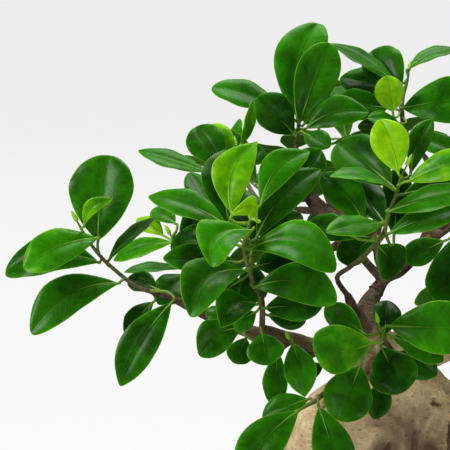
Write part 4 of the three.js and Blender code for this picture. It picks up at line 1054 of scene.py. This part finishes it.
def add_leaf(carrier, leaf, chance):
    root, base, tip = leaf["root"], leaf["base"], leaf["tip"]
    along, face, across = blade_frame(base, tip, leaf["facing"], leaf["roll"])
    size = (tip - base).length
    carrier.point(
        base, leaf=1, base=base * MM, along=along, face=face, across=across, long=size * MM,
        wide=leaf["width"] * MM, **blade_outline(leaf["taper"]),
        **{name: leaf[name] for name in ("arch", "fold", "sweep", "youth")},
        tint=chance.uniform(*TINT_RANGE), phase=chance.uniform(0, 2 * math.pi),
    )
    elbow = base - along * ((base - root).length * ELBOW_SHARE)
    curve = [root, root.lerp(elbow, 0.6), elbow.lerp(base, 0.5), base - face * KEEL_DEPTH]
    points = [
        (place, {"radius": radius * MM, "green": STALK_GREEN + STALK_GREEN_STEP * index})
        for index, (place, radius) in enumerate(zip(curve, STALK_RADII))
    ]
    for part, radius in zip(KEEL_SHARES, KEEL_RADII):
        lift = leaf["arch"] * bow(part) * size - KEEL_DEPTH
        place = (base + along * (part * size) + face * lift
                 + across * (leaf["sweep"] * bow(part) * size))
        points.append((place, {"radius": radius * MM, "green": 1}))
    carrier.path(points, youth=max(LEAST_STALK_YOUTH, leaf["youth"]), girth=0)


def add_stem(carrier, stem):
    end = len(stem) - 1
    carrier.path([
        (place, {
            "radius": radius * TWIG_SLIMMING * MM,
            "green": (index / end) ** STEM_GREEN_POWER * STEM_GREEN,
        })
        for index, (place, radius) in enumerate(stem)
    ], youth=STEM_YOUTH, girth=0)
    tip = stem[-1][0]
    heading = (tip - stem[-2][0]).normalized()
    carrier.path([
        (tip + heading * (BUD_LENGTH * index / (len(BUD_RADII) - 1)), {"radius": radius * MM})
        for index, radius in enumerate(BUD_RADII)
    ], youth=BUD_YOUTH, girth=0, green=1)


def wood_paths():
    """Every root and limb, thick end first, and whether it is a root."""
    for points in SWOLLEN_ROOTS:
        yield pictured_path(points), True
    for points in HIDDEN_LIMBS:
        yield plain_path(points), False
    for shoot in PICTURED_SHOOTS.values():
        yield pictured_path(shoot["limb"]), False
    for spray in SPRAYS.values():
        yield plain_path(spray["limb"]), False


def girth_of(radius):
    return min(1, max(0, (radius - GIRTHLESS_RADIUS) / GIRTH_RANGE))


def wood_carrier(fused):
    """The thick wood that is fused into one skin, or the thin wood that stays as tubes."""
    carrier = Carrier()
    for points, root in wood_paths():
        if fused:
            kept = [point for point in points if root or point[1] >= FUSED_RADIUS]
        else:
            kept = [] if root else [point for point in points if point[1] < TUBE_RADIUS]
            started = len(points) - len(kept)
            if kept and started:
                kept.insert(0, points[started - 1])
        if len(kept) > 1:
            carrier.path([
                (place, {"radius": radius * MM, "girth": 1 if fused else girth_of(radius)})
                for place, radius in kept
            ])
    return carrier


# Geometry node trees.

# A blade's short point starts at this share of its length. Its edge waves go on by these angles,
# in radians, along the whole blade and across half of it.
POINT_STARTS = 0.84
WAVE_ALONG, WAVE_ACROSS = 17, 1.3

# The least and the spread of a soil grain's three widths, as shares of the usual width.
GRAIN_WIDTHS = ((0.45, 0.95), (0.4, 0.8), (0.35, 0.6))
FULL_TURN = 6.28


def geometry_tree(name, **inputs):
    return group_tree(
        name, "GeometryNodeTree", {"Geometry": "Geometry"}, {"Geometry": "Geometry", **inputs})


def realized(*parts):
    """The parts joined into one plain mesh."""
    tree = parts[0].tree
    joined = tree.nodes.new("GeometryNodeJoinGeometry")
    for part in parts:
        feed(part, joined.inputs[0])
    return add_node(tree, "GeometryNodeRealizeInstances", Geometry=in_use(joined))


def named(tree, title, kind="FLOAT"):
    return add_node(tree, "GeometryNodeInputNamedAttribute", {"data_type": kind}, Name=title)


def stored(geometry, title, value, domain="POINT"):
    return add_node(
        geometry.tree, "GeometryNodeStoreNamedAttribute",
        {"data_type": "FLOAT", "domain": domain}, Geometry=geometry, Name=title, Value=value)


def painted(geometry, material):
    smooth = add_node(geometry.tree, "GeometryNodeSetShadeSmooth", Geometry=geometry)
    return add_node(
        geometry.tree, "GeometryNodeSetMaterial", Geometry=smooth, Material=material)


def position(tree):
    return add_node(tree, "GeometryNodeInputPosition")


def smooth_tubes(lines, sides):
    """Round tubes through the points of the lines, as thick as their radius says."""
    tree = lines.tree
    curves = add_node(tree, "GeometryNodeMeshToCurve", Mesh=lines)
    spline = add_node(
        tree, "GeometryNodeCurveSplineType", {"spline_type": "CATMULL_ROM"}, Curve=curves)
    fine = add_node(tree, "GeometryNodeSetSplineResolution", Geometry=spline, Resolution=5)
    ring = add_node(
        tree, "GeometryNodeCurvePrimitiveCircle", {"mode": "RADIUS"}, Resolution=sides, Radius=1)
    return add_node(
        tree, "GeometryNodeCurveToMesh", Curve=fine, Profile_Curve=ring,
        Scale=named(tree, "radius"), Fill_Caps=True)


def flat_blade(tree, rows, columns):
    """A blade before it is bent: two sheets that meet at the edge, with finer faces there."""
    flat = add_node(
        tree, "GeometryNodeMeshGrid", Size_X=1, Size_Y=2, Vertices_X=rows, Vertices_Y=columns)
    x = add_node(tree, "ShaderNodeSeparateXYZ", Vector=position(tree))
    y = beside(x, "Y")
    flat = stored(flat, "blade_along", 0.5 - reckon("COSINE", (x + 0.5) * math.pi) * 0.5)
    flat = stored(flat, "blade_share", y * (1.5 - y * y * 0.5))
    upper = stored(stored(flat, "sheet", 1), "underside", 0, "FACE")
    lower = add_node(tree, "GeometryNodeFlipFaces", Mesh=flat)
    lower = stored(stored(lower, "sheet", -1), "underside", 1, "FACE")
    return realized(lower, upper)


def bent_blades(blades, thickness, wave, bulge):
    """Each blade bent to its own place and form.

    part goes from 0 at the blade's base to 1 at its tip, and side from -1 to 1 across it.
    """
    tree = blades.tree
    part, side = named(tree, "blade_along"), named(tree, "blade_share")
    sheet, long, wide = [named(tree, title) for title in ("sheet", "long", "wide")]
    off = reckon("ABSOLUTE", side)
    swell = reckon("SINE", reckon("MINIMUM", part ** named(tree, "widest"), 1) * math.pi)
    drawn_in = 1 - rise(part, POINT_STARTS, 1) * named(tree, "point")
    power = named(tree, "power") - part ** 4 * named(tree, "rounding")
    half = reckon("MAXIMUM", swell, 0) ** power * drawn_in * wide * 0.5
    bowed = part * (1 - part) * 4 * long
    angle = part * WAVE_ALONG + named(tree, "phase") + side * WAVE_ACROSS
    waves = reckon("SINE", angle) * wave * off * off
    dome = (off - off * off) * bulge * 2
    thin = reckon("SQRT", reckon("MAXIMUM", 1 - off * off, 0))
    ends = reckon("SQRT", reckon("MAXIMUM", part * (1 - part) * 4, 0))
    shell = (thin * ends * sheet - 1) * thickness * 0.5
    lift = (named(tree, "arch") * bowed + half * (off * named(tree, "fold") + dome + waves)
            + shell)
    sway = side * half + named(tree, "sweep") * bowed
    where = named(tree, "base", "FLOAT_VECTOR")
    for title, way in (("along", part * long), ("face", lift), ("across", sway)):
        where = where + named(tree, title, "FLOAT_VECTOR") * way
    blades = stored(blades, "blade_across", side * half)
    blades = stored(blades, "blade_edge", half * (1 - off))
    blades = stored(blades, "blade_run", part * long)
    bent = add_node(tree, "GeometryNodeSetPosition", Geometry=blades, Position=where)
    return add_node(tree, "GeometryNodeMergeByDistance", Geometry=bent, Distance=1e-6)


def shoot_tree():
    """Leaves on the carrier's points, and tubes along its lines."""
    tree, carrier, rows, columns, thickness, wave, bulge, sides, leaf, twig = geometry_tree(
        "Leafy shoot", Rows="Int", Columns="Int", Thickness="Float", Wave="Float",
        Bulge="Float", Tube_sides="Int", Leaf="Material", Twig="Material")
    points = add_node(
        tree, "GeometryNodeSeparateGeometry", {"domain": "POINT"}, Geometry=carrier,
        Selection=reckon("GREATER_THAN", named(tree, "leaf"), 0.5))
    placed = add_node(
        tree, "GeometryNodeInstanceOnPoints", Points=points,
        Instance=flat_blade(tree, rows, columns))
    blades = bent_blades(realized(placed), thickness, wave, bulge)
    tubes = smooth_tubes(beside(points, "Inverted"), sides)
    send_out(tree, realized(painted(blades, leaf), painted(tubes, twig)))
    return tree


def wood_tree():
    """Round wood along the carrier's lines."""
    tree, lines, sides, bark = geometry_tree("Round wood", Tube_sides="Int", Bark="Material")
    send_out(tree, realized(painted(smooth_tubes(lines, sides), bark)))
    return tree


def relief_tree():
    """Lumps, folds and creases over bark."""
    tree, wood, height, bark = geometry_tree("Bark relief", Height="Float", Bark="Material")
    place = position(tree)
    large = noise(place, scale=17, detail=1, distortion=0.5) - 0.5
    lumps = large * 1.5 + noise(place, scale=42, distortion=0.4) - 0.5
    streaks = noise(place * (1, 1, 0.35), scale=55, detail=3, distortion=0.8)
    creases = reckon("PINGPONG", streaks * 3, 0.5)
    crumbs = noise(place, scale=260, detail=3) - 0.5
    rise_by = lumps * 3.6 - rise(creases, 0.14, 0) * 0.9 + crumbs * 0.35
    # A mask of where the bark sinks, which the bark material paints dark as painted shade.
    wood = stored(wood, "hollow_shade", rise(rise_by, 0.2, -1.1))
    normal = add_node(tree, "GeometryNodeInputNormal")
    moved = add_node(
        tree, "GeometryNodeSetPosition", Geometry=wood,
        Offset=normal * (rise_by * height * (named(tree, "girth") * 0.85 + 0.15)))
    send_out(tree, realized(painted(moved, bark)))
    return tree


def random_value(tree, kind, **inputs):
    return add_node(tree, "FunctionNodeRandomValue", {"data_type": kind}, **inputs)


def soil_tree():
    """Grains scattered over the top of the soil."""
    tree, bed, size, density, seed, earth = geometry_tree(
        "Soil grains", Grain="Float", Density="Float", Seed="Int", Earth="Material")
    facing_up = reckon("GREATER_THAN", height_of(add_node(tree, "GeometryNodeInputNormal")), 0.5)
    spots = add_node(
        tree, "GeometryNodeDistributePointsOnFaces", {"distribute_method": "RANDOM"},
        Mesh=bed, Selection=facing_up, Density=density, Seed=seed)
    lump = add_node(tree, "GeometryNodeMeshIcoSphere", Radius=0.5, Subdivisions=2)
    place = position(tree)
    knobs = (noise(place, scale=2.2, detail=1) - 0.5) * 1.3
    knobbly = add_node(tree, "GeometryNodeSetPosition", Geometry=lump, Offset=place * knobs)
    turn = random_value(tree, "FLOAT_VECTOR", Max=(FULL_TURN, FULL_TURN, FULL_TURN), Seed=seed)
    breadth = random_value(tree, "FLOAT", Seed=seed)
    tint = random_value(tree, "FLOAT", Seed=seed + 5)
    widths = [size * (least + breadth * spread) for least, spread in GRAIN_WIDTHS]
    shape = add_node(tree, "ShaderNodeCombineXYZ", **dict(zip("XYZ", widths)))
    grains = add_node(
        tree, "GeometryNodeInstanceOnPoints", Points=spots, Instance=knobbly, Rotation=turn,
        Scale=shape)
    grains = stored(grains, "shade", tint ** 3, "INSTANCE")
    send_out(tree, realized(painted(bed, earth), painted(grains, earth)))
    return tree


# Pieces.

def tree_modifier(piece, tree, **values):
    """Adds a node tree to a piece and sets its inputs by their own identifiers."""
    modifier = piece.modifiers.new(tree.name, "NODES")
    modifier.node_group = tree
    identifiers = {
        item.name: item.identifier for item in tree.interface.items_tree
        if item.item_type == "SOCKET" and item.in_out == "INPUT"
    }
    for title, value in values.items():
        modifier[identifiers[title.replace("_", " ")]] = value


def new_piece(name, mesh):
    piece = bpy.data.objects.new(name, mesh)
    bpy.context.scene.collection.objects.link(piece)
    return piece


def new_mesh(name, corners, faces):
    made = bpy.data.meshes.new(name)
    made.from_pydata(corners, [], faces)
    return made


def settled(piece):
    """Turns what the piece's modifiers make into its plain mesh, and removes them."""
    bpy.context.view_layer.update()
    evaluated = piece.evaluated_get(bpy.context.evaluated_depsgraph_get())
    made = bpy.data.meshes.new_from_object(evaluated)
    piece.modifiers.clear()
    piece.data = made
    return piece


def declare(piece, slot, *nodes):
    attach(piece, BODY)
    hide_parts(*nodes)


class FICUS_OT_leafy_shoots(bpy.types.Operator):
    """Make every leafy shoot: its blades, their stalks and midribs, the twig and its bud"""

    bl_idname = "ficus.leafy_shoots"
    bl_label = "Leafy Shoots"

    def execute(self, context):
        settings = context.scene.ficus_leaf
        blade, twig = leaf_material(settings), twig_material(settings, context.scene.ficus_bark)
        tree = shoot_tree()
        for name, stem, leaves in leafy_shoots():
            chance = random.Random(name)
            carrier = Carrier()
            add_stem(carrier, stem)
            for leaf in leaves:
                add_leaf(carrier, leaf, chance)
            piece = new_piece(name + "_grown", carrier.mesh(name))
            tree_modifier(
                piece, tree, Rows=settings.rows + 1, Columns=settings.columns + 1,
                Thickness=settings.thickness, Wave=settings.wave, Bulge=settings.bulge,
                Tube_sides=TWIG_SIDES, Leaf=blade, Twig=twig)
            declare(settled(piece), "leaf", name)
        return {"FINISHED"}


class FICUS_OT_roots_and_limbs(bpy.types.Operator):
    """Make the swollen roots and the limbs: thick wood fused into one skin, thin wood as tubes"""

    bl_idname = "ficus.roots_and_limbs"
    bl_label = "Roots and Limbs"

    def execute(self, context):
        settings = context.scene.ficus_bark
        bark = bark_material(settings)
        tubes, relief = wood_tree(), relief_tree()
        thick = new_piece("swollen_roots", wood_carrier(True).mesh("swollen_roots"))
        tree_modifier(thick, tubes, Tube_sides=FUSED_SIDES, Bark=bark)
        skin = thick.modifiers.new("Skin", "REMESH")
        skin.mode = "VOXEL"
        skin.voxel_size = settings.voxel
        skin.use_smooth_shade = True
        soften = thick.modifiers.new("Soften", "SMOOTH")
        soften.factor = 0.5
        soften.iterations = 8
        settled(thick)
        girth = thick.data.attributes.get("girth") or thick.data.attributes.new(
            "girth", "FLOAT", "POINT")
        girth.data.foreach_set("value", [1.0] * len(thick.data.vertices))
        thin = new_piece("limbs", wood_carrier(False).mesh("limbs"))
        tree_modifier(thin, tubes, Tube_sides=TUBE_SIDES, Bark=bark)
        for piece in (thick, thin):
            tree_modifier(piece, relief, Height=settings.relief, Bark=bark)
            declare(settled(piece), "bark", "roots_and_limbs")
        return {"FINISHED"}


def belly_radius(height):
    flare = 1 - (1 - height / BELLY_TOP) ** BELLY_CURVE
    return lerp(POT_FOOT_RADIUS, BELLY_TOP_RADIUS, flare)


def arc(radius, height, rounding, start, end, steps):
    """Points of a rounded corner about a centre, from one angle to another in degrees."""
    for step in range(steps + 1):
        angle = math.radians(lerp(start, end, step / steps))
        yield radius + rounding * math.cos(angle), height + rounding * math.sin(angle)


def pot_profile():
    """The pot's outline from the middle of its underside round to the middle of its floor."""
    heights = [BELLY_TOP * step / BELLY_STEPS for step in range(1, BELLY_STEPS + 1)]
    top = POT_HEIGHT - LIP_ROUNDING
    lip_low = POT_HEIGHT - POT_LIP_HEIGHT + LIP_UNDER_ROUNDING
    floor_radius = belly_radius(POT_FLOOR) - POT_WALL - 2
    return [
        (0, 0),
        (POT_FOOT_RADIUS - 2, 0),
        *arc(POT_FOOT_RADIUS - FOOT_ROUNDING, FOOT_ROUNDING, FOOT_ROUNDING, -90, 0, 3),
        *[(belly_radius(height), height) for height in heights if height > 2],
        *arc(POT_RIM_RADIUS - LIP_UNDER_ROUNDING, lip_low, LIP_UNDER_ROUNDING, -60, 0, 4),
        *arc(POT_RIM_RADIUS - LIP_ROUNDING, top, LIP_ROUNDING, 0, 90, 6),
        *arc(POT_RIM_RADIUS - POT_LIP + LIP_ROUNDING, top, LIP_ROUNDING, 90, 180, 6),
        *[(belly_radius(height) - POT_WALL, height)
          for height in reversed(heights) if height > POT_FLOOR + 2],
        (floor_radius + 0.5, POT_FLOOR + 1),
        (floor_radius - 1.5, POT_FLOOR),
        (0, POT_FLOOR),
    ]


def spun_mesh(name, profile, sides, shift=0):
    """A closed round mesh from a profile whose ends lie on the axis, shifted along X."""
    around = [2 * math.pi * side / sides for side in range(sides)]
    rings = [
        [(radius * math.cos(angle), radius * math.sin(angle), height) for angle in around]
        for radius, height in profile[1:-1]
    ]
    foot, top = [(0, 0, height) for _, height in (profile[0], profile[-1])]
    corners = [foot, *[corner for ring in rings for corner in ring], top]
    last = len(corners) - 1
    faces = []
    for side in range(sides):
        after = (side + 1) % sides
        faces.append((0, 1 + after, 1 + side))
        for low in range(1, last - sides, sides):
            faces.append((low + side, low + after, low + sides + after, low + sides + side))
        faces.append((last - sides + side, last - sides + after, last))
    moved = [(Vector(corner) + Vector((shift, 0, 0))) * MM for corner in corners]
    return new_mesh(name, moved, faces)


def box_mesh(name, low, high):
    corners = [
        Vector((x, y, z)) * MM for x in (low[0], high[0]) for y in (low[1], high[1])
        for z in (low[2], high[2])
    ]
    faces = [(0, 1, 3, 2), (4, 6, 7, 5), (0, 4, 5, 1), (2, 3, 7, 6), (0, 2, 6, 4), (1, 5, 7, 3)]
    return new_mesh(name, corners, faces)


def drain_cutters(side):
    """The shapes that cut a drain hole and its groove, on one side of the pot."""
    offset, above = side * DRAIN_OFFSET, POT_FLOOR + 1
    bore = [(0, -1), (DRAIN_RADIUS, -1), (DRAIN_RADIUS, above), (0, above)]
    start, end = sorted((offset, side * (POT_FOOT_RADIUS + DRAIN_OFFSET)))
    return [
        new_piece("drain_cutter", spun_mesh("drain", bore, DRAIN_SIDES, offset)),
        new_piece("groove_cutter", box_mesh(
            "groove", (start, -DRAIN_RADIUS / 2, -1), (end, DRAIN_RADIUS / 2, DRAIN_GROOVE_DEPTH))),
    ]


class FICUS_OT_pot(bpy.types.Operator):
    """Make the round glazed pot with its drain holes and grooves"""

    bl_idname = "ficus.pot"
    bl_label = "Pot"

    def execute(self, context):
        settings = context.scene.ficus_pot
        pot = new_piece("glazed_pot", spun_mesh("glazed_pot", pot_profile(), settings.sides))
        cutters = drain_cutters(-1) + drain_cutters(1)
        for cutter in cutters:
            cut = pot.modifiers.new("Cut", "BOOLEAN")
            cut.object = cutter
            cut.solver = "EXACT"
        settled(pot)
        for cutter in cutters:
            bpy.data.objects.remove(cutter)
        pot.data.shade_smooth()
        pot.data.set_sharp_from_angle(angle=math.radians(SHARP_DEGREES))
        pot.data.materials.clear()
        pot.data.materials.append(pot_material(settings))
        declare(pot, "pot_glaze", "pot")
        return {"FINISHED"}


class FICUS_OT_soil(bpy.types.Operator):
    """Make the soil: a rough bed under scattered grains"""

    bl_idname = "ficus.soil"
    bl_label = "Soil"

    def execute(self, context):
        settings = context.scene.ficus_soil
        bed = new_piece("soil_bed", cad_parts["soil"].data.copy())
        bed.modifiers.new("Weld", "WELD").merge_threshold = SAME_CORNER
        settled(bed)
        tree_modifier(
            bed, soil_tree(), Grain=settings.grain, Density=settings.number,
            Seed=settings.seed, Earth=soil_material(settings))
        declare(settled(bed), "soil_mix", "soil")
        return {"FINISHED"}


class FICUS_OT_drain_screens(bpy.types.Operator):
    """Give the two drain screens their plastic"""

    bl_idname = "ficus.drain_screens"
    bl_label = "Drain Screens"

    def execute(self, context):
        plastic = plastic_material()
        for name in ("drain_screen_left", "drain_screen_right"):
            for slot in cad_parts[name].material_slots:
                slot.material = plastic
        return {"FINISHED"}


def area_light(name, watts, size, place, target):
    light = bpy.data.lights.new(name, "AREA")
    light.shape = "RECTANGLE"
    light.size, light.size_y = size
    light.energy = watts
    lamp = new_piece(name, light)
    lamp.location = place
    lamp.visible_camera = False
    lamp.rotation_euler = (Vector(target) - Vector(place)).to_track_quat("-Z", "Y").to_euler()


class FICUS_OT_stage(bpy.types.Operator):
    """Make the pale floor, the soft lights and the camera"""

    bl_idname = "ficus.stage"
    bl_label = "Stage"

    def execute(self, context):
        scene = context.scene
        settings = scene.ficus_stage
        reach = settings.floor_reach
        corners = [(-reach, -reach, 0), (reach, -reach, 0), (reach, reach, 0), (-reach, reach, 0)]
        floor = new_piece("floor", new_mesh("floor", corners, [(0, 1, 2, 3)]))
        material = bpy.data.materials.new("floor_paper")
        material.use_nodes = True
        feed_inputs(shader_of(material), {
            "Base Color": settings.floor, "Roughness": 0.9,
            "Emission Color": settings.glow, "Emission Strength": 1})
        floor.data.materials.append(material)
        floor.visible_glossy = False
        for name, (part, *others) in LAMPS.items():
            area_light(name, settings.key_watts * part, *others)
        world = bpy.data.worlds.new("sky")
        world.use_nodes = True
        sky = next(node for node in world.node_tree.nodes if node.type == "BACKGROUND")
        feed_inputs(sky, {"Color": settings.sky, "Strength": settings.sky_strength})
        scene.world = world
        scene.view_settings.view_transform = "Standard"
        scene.view_settings.look = "Medium High Contrast"
        camera = new_piece("camera", bpy.data.cameras.new("camera"))
        camera.data.sensor_width = SENSOR_MM
        camera.data.lens = SENSOR_MM * VIEW_DISTANCE / (VIEW_PIXELS * VIEW_PIXEL_MM)
        camera.data.clip_start = 0.01
        camera.location = VIEW_EYE * MM
        camera.rotation_euler = (math.pi / 2 - VIEW_TILT, 0, 0)
        scene.camera = camera
        return {"FINISHED"}


OPERATORS = [
    FICUS_OT_stage,
    FICUS_OT_pot,
    FICUS_OT_drain_screens,
    FICUS_OT_soil,
    FICUS_OT_roots_and_limbs,
    FICUS_OT_leafy_shoots,
]


class FICUS_PT_panel(bpy.types.Panel):
    bl_label = "Ficus Ginseng Bonsai"
    bl_idname = "FICUS_PT_panel"
    bl_space_type = "VIEW_3D"
    bl_region_type = "UI"
    bl_category = "Ficus"

    def draw(self, context):
        for operator in OPERATORS:
            self.layout.operator(operator.bl_idname)
        for title, settings in SETTINGS.items():
            box = self.layout.box()
            for name in settings.__annotations__:
                box.prop(getattr(context.scene, title), name)


def register():
    for settings in SETTINGS.values():
        bpy.utils.register_class(settings)
    for title, settings in SETTINGS.items():
        setattr(bpy.types.Scene, title, bpy.props.PointerProperty(type=settings))
    for operator in OPERATORS:
        bpy.utils.register_class(operator)
    bpy.utils.register_class(FICUS_PT_panel)


def unregister():
    bpy.utils.unregister_class(FICUS_PT_panel)
    for operator in reversed(OPERATORS):
        bpy.utils.unregister_class(operator)
    for title, settings in SETTINGS.items():
        delattr(bpy.types.Scene, title)
        bpy.utils.unregister_class(settings)


def main():
    register()
    for operator in OPERATORS:
        group, name = operator.bl_idname.split(".")
        getattr(getattr(bpy.ops, group), name)()


if __name__ == "__main__":
    main()
